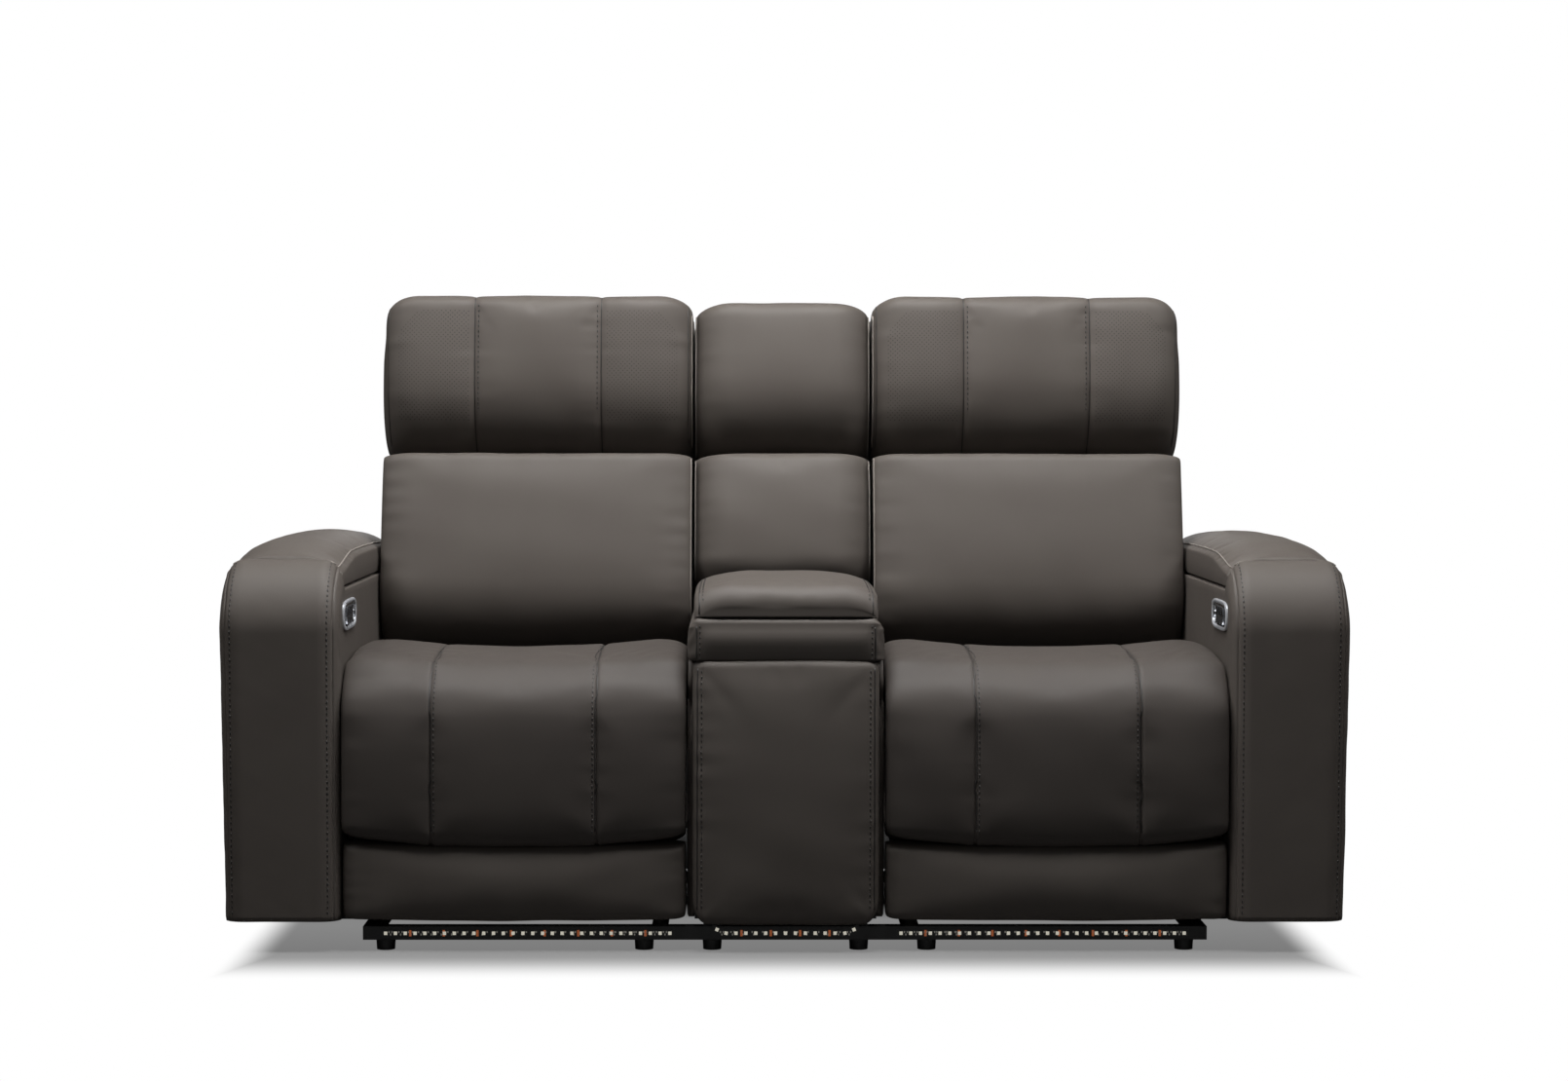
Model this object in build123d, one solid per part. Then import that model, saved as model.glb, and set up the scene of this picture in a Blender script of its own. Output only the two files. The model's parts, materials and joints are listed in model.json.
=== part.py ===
from build123d import *
import os
from math import cos, pi, radians, sin, sqrt

# Two-seat powered recliner with a centre console. Millimetres, +X to the viewer's right,
# +Y to the rear, +Z up, origin on the floor under the middle of the outline.
# "left" and "right" are as seen from the front.

# ---- overall layout
ARM_WIDTH = 203.0
SEAT_BAY = 588.0
CONSOLE_WIDTH = 334.0
SEAT_TO_BACK = 528.0
RAKE = 12.0
BACK_THICKNESS = 300.0
BACK_LENGTH = 660.0
REAR_EDGE_RADIUS = 30.0
FRONT_CROWN = 3.0
SEAT_LEVEL = 495.0

CONSOLE_HALF = CONSOLE_WIDTH / 2
BAY_HALF = SEAT_BAY / 2
SEAT_MID = CONSOLE_HALF + BAY_HALF
ARM_INNER = CONSOLE_HALF + SEAT_BAY
ARM_OUTER = ARM_INNER + ARM_WIDTH
RAKE_SIN = sin(radians(RAKE))
RAKE_COS = cos(radians(RAKE))
TOTAL_DEPTH = (
    SEAT_TO_BACK
    + (BACK_THICKNESS - REAR_EDGE_RADIUS) * RAKE_COS
    + (BACK_LENGTH - REAR_EDGE_RADIUS) * RAKE_SIN
    + REAR_EDGE_RADIUS
)
FRONT_Y = (FRONT_CROWN - TOTAL_DEPTH) / 2
BACK_PLANE_Y = FRONT_Y + SEAT_TO_BACK

# ---- clearances
SEATED = 0.3
SIDE_GAP = 3.0
PIN_GAP = 0.06
LOOSE_PIN_GAP = 0.4
FOLD_GAP = 1.5

# ---- base frame, feet and light strip
TUBE_WIDTH = 25.0
TUBE_HEIGHT = 23.0
TUBE_WALL = 2.0
FOOT_HEIGHT = 17.0
FOOT_RADIUS = 15.5
FOOT_TOP_RADIUS = 16.5
FOOT_SPREAD = 220.0
CONSOLE_FOOT_SPREAD = 125.0
FRONT_TUBE_SETBACK = 45.0
REAR_TUBE_SETBACK = 685.0
SIDE_RAIL_OFFSET = 245.5
SPACER_HEIGHT = 11.7
OUTRIGGER_WIDTH = 30.0
OUTRIGGER_SETBACKS = (125.0, 625.0)
OUTRIGGER_INSET = 55.0
CONSOLE_SPACER_WIDTH = 30.0
TUBE_BOTTOM = FOOT_HEIGHT
TUBE_TOP = TUBE_BOTTOM + TUBE_HEIGHT
FRONT_TUBE_Y = FRONT_Y + FRONT_TUBE_SETBACK
REAR_TUBE_Y = FRONT_Y + REAR_TUBE_SETBACK
SKIRT_BOTTOM = TUBE_TOP + SPACER_HEIGHT + SEATED

LED_TAPE_HEIGHT = 12.0
LED_TAPE_THICKNESS = 2.0
LED_CHIP_SIZE = 5.0
LED_CHIP_THICKNESS = 1.4
LED_PITCH = 1000.0 / 60.0
LED_END_MARGIN = 8.0
LED_SEAT_COUNT = 30
LED_CONSOLE_COUNT = 15

# ---- arms
ARM_FRONT_RADIUS = 130.0
ARM_EDGE_RADIUS = 35.0
ARM_REAR_SETBACK = 805.0
ROLL_LENGTH = 88.0
ARM_COVER_WALL = 16.0
ARM_BOARD = 15.0
ARM_ROLL_RISE = 55.0
ARM_PAD_HEIGHT = 50.0
ARM_PAD_CROWN = 8.0
ARM_PAD_PUFF = 20.0
ARM_PAD_SIDE_INSET = 2.0
ARM_PAD_SIDE_ROUND = 34.0
ARM_REAR_Y = FRONT_Y + ARM_REAR_SETBACK
ROLL_END_Y = FRONT_Y + ROLL_LENGTH

# ---- switch panel on the inner side of each arm
PANEL_LENGTH = 160.0
PANEL_HEIGHT = 52.0
PANEL_CORNER = 14.0
PANEL_PROUD = 4.0
PANEL_DEPTH = 12.0
PANEL_SETBACK = 140.0
PANEL_OVER_SEAT = 71.0
PANEL_MARGIN = 25.0
PANEL_RIM = 7.0
PANEL_FLOOR = 3.0
ROCKER_LENGTH = 20.0
ROCKER_HEIGHT = 30.0
ROCKER_PITCH = 28.0
ROCKER_FIRST_OFFSET = -44.0
ROCKER_PIN_RADIUS = 1.5
BUTTON_RADIUS = 7.0
BUTTON_OFFSET = 48.0
BUTTON_PROUD = 2.0
BUTTON_GAP = 0.8

# ---- seat cushion and footrest
SEAT_FRONT_TOP = 485.0
SEAT_CROWN_TOP = 495.0
SEAT_REAR_TOP = 473.0
SEAT_BOTTOM = 375.0
SEAT_REAR_SETBACK = 500.0
FRONT_ROLL_RADIUS = 90.0
HINGE_SKIN = 15.0
SEAT_SEAM = 140.0
CHANNEL_DEPTH = 7.0
CHANNEL_HALF = 12.0
BOLSTER_RISE = 13.0
SEAT_DRAW = 20.0
SEAT_REAR_DRAW = 6.0
FOOTREST_DRAW = 12.0
FOOTREST_LOW_DRAW = 4.0
SEAT_REAR_RADIUS = 25.0
BOARD = 18.0
FOOTREST_PAD = 68.0
FOOTREST_SPLIT_LOW = 187.0
FOOTREST_SPLIT_HIGH = 198.0
LOWER_PAD_SETBACK = 12.0
FOOTREST_BOARD_TOP = 345.0
FOOTREST_BOARD_BOTTOM = 70.0
FOOTREST_BOARD_INSET = 21.0
PAD_EDGE_RADIUS = 22.0
SEAT_HALF = BAY_HALF - SIDE_GAP
FOOTREST_BOARD_HALF = SEAT_HALF - FOOTREST_BOARD_INSET
# The switch panel sits over the seat, and the arm's deck, roll and pad sit over the panel.
PANEL_Z = SEAT_CROWN_TOP + PANEL_OVER_SEAT
ARM_DECK = PANEL_Z + PANEL_HEIGHT / 2 + PANEL_MARGIN
ARM_TOP = ARM_DECK + ARM_ROLL_RISE
ARM_PAD_SHOULDER = ARM_DECK + ARM_PAD_HEIGHT

ROLL_CENTRE_Y = FRONT_Y + FRONT_ROLL_RADIUS
ROLL_CENTRE_Z = SEAT_FRONT_TOP - FRONT_ROLL_RADIUS
HINGE_Y = ROLL_CENTRE_Y - (FRONT_ROLL_RADIUS - HINGE_SKIN) / sqrt(2)
HINGE_Z = ROLL_CENTRE_Z + (FRONT_ROLL_RADIUS - HINGE_SKIN) / sqrt(2)
SEAT_REAR_Y = FRONT_Y + SEAT_REAR_SETBACK
BOARD_FRONT_Y = FRONT_Y + FOOTREST_PAD
BOARD_REAR_Y = BOARD_FRONT_Y + BOARD

# ---- seat deck and mechanism
DECK_BOARD_HEIGHT = 36.0
DECK_SETBACK = 95.0
DECK_REAR_SETBACK = 493.0
STRAP_WIDTH = 60.0
STRAP_THICKNESS = 2.0
STRAP_COUNT = 5
STRAP_PITCH = 100.0
PLATE = 4.0
PLATE_OFFSET = 262.0
PLATE_BOTTOM = 130.0
GUIDE_TOP = 167.0
GUIDE_FRONT_SETBACK = 100.0
GUIDE_REAR_SETBACK = 480.0
ROLLER_Z = 147.0
ROLLER_RADIUS = 8.0
ROLLER_SETBACKS = (225.0, 440.0)
GLIDE_TRAVEL = 75.0
CROSS_TUBE_RADIUS = 11.0
CROSS_TUBE_SETBACKS = (225.0, 455.0)
CROSS_TUBE_Z = 210.0
DRIVE_TUBE_SETBACK = 155.0
DRIVE_TUBE_Z = 295.0
DRIVE_TUBE_RADIUS = 12.5
LINK_WIDTH = 22.0
LINK_OFFSET = 244.0
STAY_OFFSET = 238.0
LUG_OFFSET = 230.0
LUG_Z = 245.0
LUG_REACH = 13.0
LINK_PIN_RADIUS = 5.0
HINGE_ARM_OFFSET = 200.0
HINGE_KNUCKLE = 9.0
HINGE_SLOT_GAP = 2.5
HINGE_PLATE_GAP = 2.0
ARM_WELD_LENGTH = 100.0
DECK_TOP = SEAT_BOTTOM - SEATED
DECK_FRONT_Y = FRONT_Y + DECK_SETBACK
DECK_REAR_Y = FRONT_Y + DECK_REAR_SETBACK
DRIVE_Y = FRONT_Y + DRIVE_TUBE_SETBACK
LUG_Y = BOARD_REAR_Y + LUG_REACH
# The drive link, stay link, footrest and seat frame make a parallelogram.
LINK_DY = LUG_Y - HINGE_Y
LINK_DZ = LUG_Z - HINGE_Z
STAY_END_Y = DRIVE_Y + LINK_DY
STAY_END_Z = DRIVE_TUBE_Z + LINK_DZ

# ---- linear actuators under the seat
ACTUATOR_SPREAD = 60.0
ACTUATOR_RAIL_WIDTH = 30.0
ACTUATOR_RAIL_HEIGHT = 20.0
MOTOR_RADIUS = 27.0
MOTOR_LENGTH = 85.0
MOTOR_SETBACK = 405.0
SLIDER_LENGTH = 40.0
SLIDER_WALL = 8.0
SLIDER_GAP = 0.5
FOOTREST_SLIDER_SETBACK = 345.0
BACK_SLIDER_SETBACK = 260.0
RAIL_BOTTOM = CROSS_TUBE_Z + CROSS_TUBE_RADIUS

# ---- back, in its own leaning frame: y to the rear from the pad's face, z up along the pad
BACK_PAD = 160.0
BACK_PANEL = 10.0
BACK_BOARD_DEPTH = 100.0
BACK_PAD_BOTTOM = -60.0
BACK_PAD_TOP = 353.0
BACK_FRAME_BOTTOM = -300.0
BACK_FRAME_TOP = 345.0
BACK_SHELL_BOTTOM = -330.0
BACK_PIVOT = (200.0, -130.0)
BACK_PIVOT_RADIUS = 8.0
BACK_CROWN = 12.0
BACK_TOP_RADIUS = 38.0
BACK_DRAW = 26.0
BACK_SIDE_ROUND = 40.0
HEAD_PAD = 150.0
HEAD_BOTTOM = 357.0
HEAD_CORNER_RADIUS = 75.0
HEAD_TOP_RADIUS = 60.0
HEAD_CROWN = 10.0
HEAD_SEAM = 119.0
HEAD_CORNER = 45.0
HEAD_DRAW = 40.0
HEAD_SIDE_ROUND = 55.0
HEAD_PIVOT_RADIUS = 5.0
HEAD_ARM_OFFSET = 200.0
HEAD_ARM_ROOT = 300.0
HEAD_BOARD_HALF = 262.0
HEAD_PIVOT = (HEAD_CORNER_RADIUS, HEAD_BOTTOM + HEAD_CORNER_RADIUS)
HEAD_MOTOR = (80.0, 60.0, 170.0)
HEAD_MOTOR_Z = 60.0
HEAD_ROD_RADIUS = 8.0
BACK_PIVOT_Y = BACK_PLANE_Y + BACK_PIVOT[0] * RAKE_COS + BACK_PIVOT[1] * RAKE_SIN
BACK_PIVOT_Z = SEAT_LEVEL - BACK_PIVOT[0] * RAKE_SIN + BACK_PIVOT[1] * RAKE_COS

# ---- console
CONSOLE_SKIN = 12.0
CONSOLE_BOX_HALF = CONSOLE_HALF - CONSOLE_SKIN
CONSOLE_BOX_SETBACK = 40.0
CONSOLE_BOX_REAR_SETBACK = 590.0
CONSOLE_TOP = 553.0
CONSOLE_WALL = 12.0
BIN_FLOOR = 325.0
BIN_REAR_SETBACK = 425.0
FRONT_PANEL_OVERHANG = 3.0
FRONT_PANEL_HALF = CONSOLE_BOX_HALF + FRONT_PANEL_OVERHANG
FRONT_PANEL_TOP = 493.0
FRONT_PANEL_BOTTOM = 47.0
FRONT_PANEL_CORNER = 40.0
COLLAR_BOTTOM = 425.0
COLLAR_SETBACK = 12.0
COLLAR_SIDE_DRAW = 1.0
COLLAR_RADIUS = 22.0
LID_OVERHANG = 1.0
LID_BOARD_INSET = 10.0
LID_HALF = CONSOLE_BOX_HALF + LID_OVERHANG
LID_BOARD_HALF = LID_HALF - LID_BOARD_INSET
LID_BOARD = 12.0
LID_REAR_SETBACK = 435.0
LID_GAP = 4.0
LID_TOP = 623.0
LID_CROWN = 14.0
LID_FRONT_RADIUS = 30.0
LID_DRAW = 16.0
LID_SIDE_ROUND = 46.0
LID_PIVOT_SETBACK = 447.0
LID_ROD_RADIUS = 5.0
LID_ARM_WIDTH = 20.0
LID_ARM_INSET = 36.0
LID_ARM_SPREAD = LID_BOARD_HALF - LID_ARM_INSET
CONSOLE_BACK_DRAW = 2.0
CONSOLE_BACK_HALF = CONSOLE_HALF - CONSOLE_BACK_DRAW
CONSOLE_HEAD_SIDE_ROUND = 45.0
CONSOLE_BACK_PAD_BOTTOM = 96.0
CONSOLE_BACK_FRAME_INSET = 9.0
CONSOLE_BACK_FRAME_HALF = CONSOLE_BACK_HALF - CONSOLE_BACK_FRAME_INSET
CONSOLE_BACK_FLOOR = -370.0
CONSOLE_BACK_WALL = 15.0
SUPPLY_SIZE = (150.0, 90.0, 34.0)
LOOM_RADIUS = 4.0
CONNECTOR_SIZE = (44.0, 22.0, 20.0)
INLET_RADIUS = 11.0
INLET_LENGTH = 14.0
CONSOLE_BOX_FRONT_Y = FRONT_Y + CONSOLE_BOX_SETBACK
CONSOLE_BOX_REAR_Y = FRONT_Y + CONSOLE_BOX_REAR_SETBACK
LID_BOTTOM = CONSOLE_TOP + LID_GAP
LID_PIVOT_Y = FRONT_Y + LID_PIVOT_SETBACK
LID_PIVOT_Z = LID_BOTTOM + LID_BOARD / 2
SIDE_STEPS = (0.0, 0.08, 0.25, 0.55, 1.0)

os.makedirs("parts", exist_ok=True)


# ---- helpers
def block(x_range, y_range, z_range):
    """An upright box between two limits on each axis."""
    size = [high - low for low, high in (x_range, y_range, z_range)]
    middle = [(high + low) / 2 for low, high in (x_range, y_range, z_range)]
    return Pos(*middle) * Box(*size)


def rod(x_range, y, z, radius):
    """A cylinder along X."""
    middle = (x_range[0] + x_range[1]) / 2
    return Pos(middle, y, z) * Rot(Y=90) * Cylinder(radius, x_range[1] - x_range[0])


def plate(x_low, thickness, points):
    """A flat plate across X, from an outline of (y, z) points."""
    outline = Polyline(*[(x_low, y, z) for y, z in points], close=True)
    return extrude(make_face(outline), amount=thickness, dir=(1, 0, 0))


def both(make):
    """The shapes that make(side) gives for the two sides of a module, as one list."""
    return [make(-1), make(1)]


def span(side, offset, thickness):
    """The X range of a plate that starts offset from the middle and grows outwards."""
    return (offset, offset + thickness) if side > 0 else (-offset - thickness, -offset)


def lean(shape):
    """Puts a shape made in the back's leaning frame into the upright frame."""
    return Pos(0, BACK_PLANE_Y, SEAT_LEVEL) * Rot(X=-RAKE) * shape


def rear_facing(out, along):
    """A pad face that looks to the front: out grows to the front, along grows up."""
    return -out, along


def upward(out, along):
    """A pad face that looks up: out grows up, along grows to the rear."""
    return along, out


def pad_section(x, turn, back, front, low, high, r_low, r_high, crown):
    """A pad's outline in the plane X = x: flat back, rounded ends and a crowned face."""
    half = sqrt(0.5)

    def at(out, along):
        return (x, *turn(out, along))

    middle = (low + high) / 2
    bend_high = (front - r_high * (1 - half), high - r_high * (1 - half))
    bend_low = (front - r_low * (1 - half), low + r_low * (1 - half))
    edges = [
        Edge.make_line(at(back, low), at(back, high)),
        Edge.make_line(at(back, high), at(front - r_high, high)),
        Edge.make_three_point_arc(at(front - r_high, high), at(*bend_high), at(front, high - r_high)),
        Edge.make_three_point_arc(
            at(front, high - r_high), at(front + crown, middle), at(front, low + r_low)
        ),
        Edge.make_three_point_arc(at(front, low + r_low), at(*bend_low), at(front - r_low, low)),
        Edge.make_line(at(front - r_low, low), at(back, low)),
    ]
    return Wire(edges)


def side_fall(distance, width):
    """How far a rounded side has fallen, from 1 at the edge to 0 at width inside it."""
    if distance >= width:
        return 0.0
    return 1 - sqrt(1 - (1 - distance / width) ** 2)


def stations(half, side_round, seam=None):
    """X places of a pad's outlines: close at the rounded sides and at its sewn channels."""
    places = [half - step * side_round for step in SIDE_STEPS]
    if seam is None:
        places += [half * 0.4]
    else:
        side_middle = (half - side_round + seam) / 2
        places += [side_middle, seam + CHANNEL_HALF, seam, seam - CHANNEL_HALF, seam / 2]
    places = [place for place in places if place > 0]
    return sorted({-place for place in places} | {0.0} | set(places))


def channel(x, seam):
    """Depth of the sewn channel at x, from 1 on the seam to 0 beside it."""
    if seam is None:
        return 0.0
    return max(0.0, 1 - abs(abs(x) - seam) / CHANNEL_HALF)


def swell(x, half, seam):
    """A pad's soft swelling between its seams or sides, from 0 to 1."""
    if seam is None:
        return 1 - (x / half) ** 2
    if abs(x) <= seam:
        return 1 - (x / seam) ** 2
    middle = (half + seam) / 2
    return 1 - ((abs(x) - middle) / (half - middle)) ** 2


def pad(
    half, turn, back, front, low, high, r_low, r_high, crown,
    draw=20.0, corner=10.0, side_round=30.0, seam=None, puff=4.0, low_corner=None,
):
    """A stuffed pad across X with a crowned face, drawn-in sides and sewn channels."""
    outlines = []
    order = 1 if turn is rear_facing else -1
    for x in stations(half, side_round, seam)[::order]:
        fall = side_fall(half - abs(x), side_round)
        face = front - draw * fall - CHANNEL_DEPTH * channel(x, seam) + puff * swell(x, half, seam)
        bottom = low + (corner if low_corner is None else low_corner) * fall
        outlines.append(
            pad_section(x, turn, back, face, bottom, high - corner * fall, r_low, r_high, crown)
        )
    return Solid.make_loft(outlines, ruled=True)


def without(shape, slots):
    """A pad less the slots that its hinge plates need."""
    return shape.cut(*slots)


def save(name, shapes):
    """Writes one node: a single shape or a group of separate solids."""
    solids = []
    for shape in shapes if isinstance(shapes, list) else [shapes]:
        solids += list(shape.solids())
    for solid in solids:
        solid.label = name
    export_step(solids[0] if len(solids) == 1 else Compound(children=solids, label=name),
                f"parts/{name}.step")


# ---- base
def tube_x(x_range, y):
    """A square steel tube along X on the feet."""
    y_range = (y - TUBE_WIDTH / 2, y + TUBE_WIDTH / 2)
    outer = block(x_range, y_range, (TUBE_BOTTOM, TUBE_TOP))
    bore = block(
        x_range,
        (y_range[0] + TUBE_WALL, y_range[1] - TUBE_WALL),
        (TUBE_BOTTOM + TUBE_WALL, TUBE_TOP - TUBE_WALL),
    )
    return outer - bore


def tube_y(x, y_range):
    """A square steel tube along Y on the feet."""
    x_range = (x - TUBE_WIDTH / 2, x + TUBE_WIDTH / 2)
    outer = block(x_range, y_range, (TUBE_BOTTOM, TUBE_TOP))
    bore = block(
        (x_range[0] + TUBE_WALL, x_range[1] - TUBE_WALL),
        y_range,
        (TUBE_BOTTOM + TUBE_WALL, TUBE_TOP - TUBE_WALL),
    )
    return outer - bore


def guide_plate(middle, side):
    """The upright plate that carries one side of a seat on rollers in two long slots."""
    x_range = span(side, SIDE_RAIL_OFFSET + TUBE_WIDTH / 2 - PLATE, PLATE)
    x_range = (x_range[0] + middle, x_range[1] + middle)
    y_range = (FRONT_Y + GUIDE_FRONT_SETBACK, FRONT_Y + GUIDE_REAR_SETBACK)
    guide = block(x_range, y_range, (TUBE_TOP, GUIDE_TOP))
    reach = ROLLER_RADIUS + SEATED
    for setback in ROLLER_SETBACKS:
        rear = FRONT_Y + setback
        slot = block(x_range, (rear - GLIDE_TRAVEL, rear), (ROLLER_Z - reach, ROLLER_Z + reach))
        slot += rod(x_range, rear, ROLLER_Z, reach)
        slot += rod(x_range, rear - GLIDE_TRAVEL, ROLLER_Z, reach)
        guide -= slot
    return guide


def base_frame():
    """Steel tube frames of the two seats and the console, with what they carry."""
    run = (FRONT_TUBE_Y + TUBE_WIDTH / 2, REAR_TUBE_Y - TUBE_WIDTH / 2)
    outer_end = SEAT_MID + SIDE_RAIL_OFFSET + TUBE_WIDTH / 2
    pieces = [tube_x((-CONSOLE_HALF, CONSOLE_HALF), y) for y in (FRONT_TUBE_Y, REAR_TUBE_Y)]
    pieces += [tube_y(side * CONSOLE_FOOT_SPREAD, run) for side in (-1, 1)]
    for side in (-1, 1):
        reach = sorted((side * CONSOLE_HALF, side * outer_end))
        pieces += [tube_x(reach, y) for y in (FRONT_TUBE_Y, REAR_TUBE_Y)]
        for inner in (-1, 1):
            pieces.append(tube_y(side * SEAT_MID + inner * SIDE_RAIL_OFFSET, run))
            pieces.append(guide_plate(side * SEAT_MID, inner))
        for setback in OUTRIGGER_SETBACKS:
            x_range = sorted((side * (outer_end - TUBE_WIDTH), side * (ARM_OUTER - OUTRIGGER_INSET)))
            y = FRONT_Y + setback
            y_range = (y - OUTRIGGER_WIDTH / 2, y + OUTRIGGER_WIDTH / 2)
            pieces.append(
                block(x_range, y_range, (TUBE_TOP, TUBE_TOP + SPACER_HEIGHT))
                - guide_plate(side * SEAT_MID, side)
            )
        x = side * CONSOLE_FOOT_SPREAD
        x_range = (x - CONSOLE_SPACER_WIDTH / 2, x + CONSOLE_SPACER_WIDTH / 2)
        y_range = (CONSOLE_BOX_FRONT_Y + SEATED, REAR_TUBE_Y + TUBE_WIDTH / 2)
        pieces.append(block(x_range, y_range, (TUBE_TOP, TUBE_TOP + SPACER_HEIGHT)))
    return pieces


def feet():
    """Round glides under the front and rear tubes."""
    spots = [side * CONSOLE_FOOT_SPREAD for side in (-1, 1)]
    spots += [
        side * SEAT_MID + inner * FOOT_SPREAD for side in (-1, 1) for inner in (-1, 1)
    ]
    return [
        Pos(x, y, FOOT_HEIGHT / 2) * Rot(X=180) * Cone(FOOT_TOP_RADIUS, FOOT_RADIUS, FOOT_HEIGHT)
        for x in spots
        for y in (FRONT_TUBE_Y, REAR_TUBE_Y)
    ]


def led_strip(middle, count):
    """A stretch of light tape on the front tube, with its row of lamp chips."""
    face = FRONT_TUBE_Y - TUBE_WIDTH / 2 - SEATED
    z = (TUBE_BOTTOM + TUBE_TOP) / 2
    half = (count - 1) * LED_PITCH / 2
    tape_half = half + LED_END_MARGIN
    tape = block(
        (middle - tape_half, middle + tape_half),
        (face - LED_TAPE_THICKNESS, face),
        (z - LED_TAPE_HEIGHT / 2, z + LED_TAPE_HEIGHT / 2),
    )
    chip_face = face - LED_TAPE_THICKNESS
    chip_middle = (middle - half, chip_face - LED_CHIP_THICKNESS / 2, z)
    chip = Pos(*chip_middle) * Box(LED_CHIP_SIZE, LED_CHIP_THICKNESS, LED_CHIP_SIZE)
    return [tape] + [Pos(i * LED_PITCH, 0, 0) * chip for i in range(count)]


# ---- arms (right arm; the left one is its mirror image)
def arm_outline(x, inset, low, deck, rear):
    """The arm's side outline at x, drawn in by inset at its front and over its roll."""
    radius = ARM_FRONT_RADIUS - inset
    centre = (FRONT_Y + ARM_FRONT_RADIUS, ARM_TOP - ARM_FRONT_RADIUS)
    bend = radius * sqrt(0.5)
    points = [
        (centre[0] - radius, low),
        (rear, low),
        (rear, deck),
        (ROLL_END_Y, deck),
        (ROLL_END_Y, ARM_TOP - inset),
    ]
    # The roll's top ends before the centre of its front curve, so the curve starts there.
    lift = sqrt(radius**2 - (ROLL_END_Y - centre[0]) ** 2)
    start = (ROLL_END_Y, centre[1] + lift)
    points[-1] = start
    edges = [
        Edge.make_line((x, *a), (x, *b)) for a, b in zip(points[:-1], points[1:])
    ]
    edges.append(
        Edge.make_three_point_arc(
            (x, *start), (x, centre[0] - bend, centre[1] + bend), (x, centre[0] - radius, centre[1])
        )
    )
    edges.append(Edge.make_line((x, centre[0] - radius, centre[1]), (x, *points[0])))
    return Wire(edges)


def arm_cover():
    """The upholstered casing of the arm, open below, with a deck for the arm pad."""
    sides = [step * ARM_EDGE_RADIUS for step in SIDE_STEPS]
    places = [ARM_INNER + d for d in sides] + [ARM_OUTER - d for d in reversed(sides)]
    outlines = []
    for x in places:
        distance = min(x - ARM_INNER, ARM_OUTER - x)
        inset = ARM_EDGE_RADIUS * side_fall(distance, ARM_EDGE_RADIUS)
        outlines.append(arm_outline(x, inset, SKIRT_BOTTOM, ARM_DECK, ARM_REAR_Y))
    return Solid.make_loft(outlines, ruled=True) - arm_core(0.0) - panel_pocket()


def arm_core(gap):
    """The space inside the arm cover, less a gap all round."""
    inset = ARM_COVER_WALL + ARM_EDGE_RADIUS * 0.3 + gap
    wall = ARM_COVER_WALL + gap
    faces = arm_outline(
        ARM_INNER + wall, inset, SKIRT_BOTTOM, ARM_DECK - wall, ARM_REAR_Y - wall
    )
    return extrude(Face(faces), amount=ARM_WIDTH - 2 * wall, dir=(1, 0, 0)) - block(
        (ARM_INNER, ARM_OUTER), (ROLL_END_Y - wall, ARM_REAR_Y), (ARM_DECK - wall, ARM_TOP)
    )


def arm_frame():
    """The closed plywood box inside the arm."""
    outer = arm_core(SEATED)
    wall = ARM_COVER_WALL + SEATED + ARM_BOARD
    inner = block(
        (ARM_INNER + wall, ARM_OUTER - wall),
        (FRONT_Y + wall + ARM_BOARD + ARM_EDGE_RADIUS, ARM_REAR_Y - wall),
        (SKIRT_BOTTOM + ARM_BOARD, ARM_DECK - wall - ARM_BOARD - ARM_FRONT_RADIUS / 3),
    )
    return outer - inner - panel_pocket()


def arm_pad():
    """The crowned pad along the top of the arm."""
    inner = ARM_INNER + ARM_PAD_SIDE_INSET
    half = (ARM_WIDTH - 2 * ARM_PAD_SIDE_INSET) / 2
    low, high = ROLL_END_Y + SEATED, ARM_REAR_Y
    shape = pad(
        half, upward, ARM_DECK + SEATED, ARM_PAD_SHOULDER, low, high,
        r_low=10.0, r_high=24.0, crown=ARM_PAD_CROWN, draw=16.0, corner=6.0,
        side_round=ARM_PAD_SIDE_ROUND, puff=ARM_PAD_PUFF, low_corner=0.0,
    )
    return Pos(inner + half, 0, 0) * shape


def panel_outline(length, height, corner):
    """A long octagon in the YZ plane, centred on the switch panel."""
    y, z = length / 2, height / 2
    cut = corner
    points = [
        (-y, -z + cut), (-y + cut, -z), (y - cut, -z), (y, -z + cut),
        (y, z - cut), (y - cut, z), (-y + cut, z), (-y, z - cut),
    ]
    return [(FRONT_Y + PANEL_SETBACK + a, PANEL_Z + b) for a, b in points]


def panel_pocket():
    """What the switch panel's body takes out of the arm."""
    outline = panel_outline(
        PANEL_LENGTH - PANEL_RIM + 2 * SEATED, PANEL_HEIGHT - PANEL_RIM + 2 * SEATED, PANEL_CORNER
    )
    depth = PANEL_DEPTH + SEATED
    return plate(ARM_INNER, depth, outline)


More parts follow.
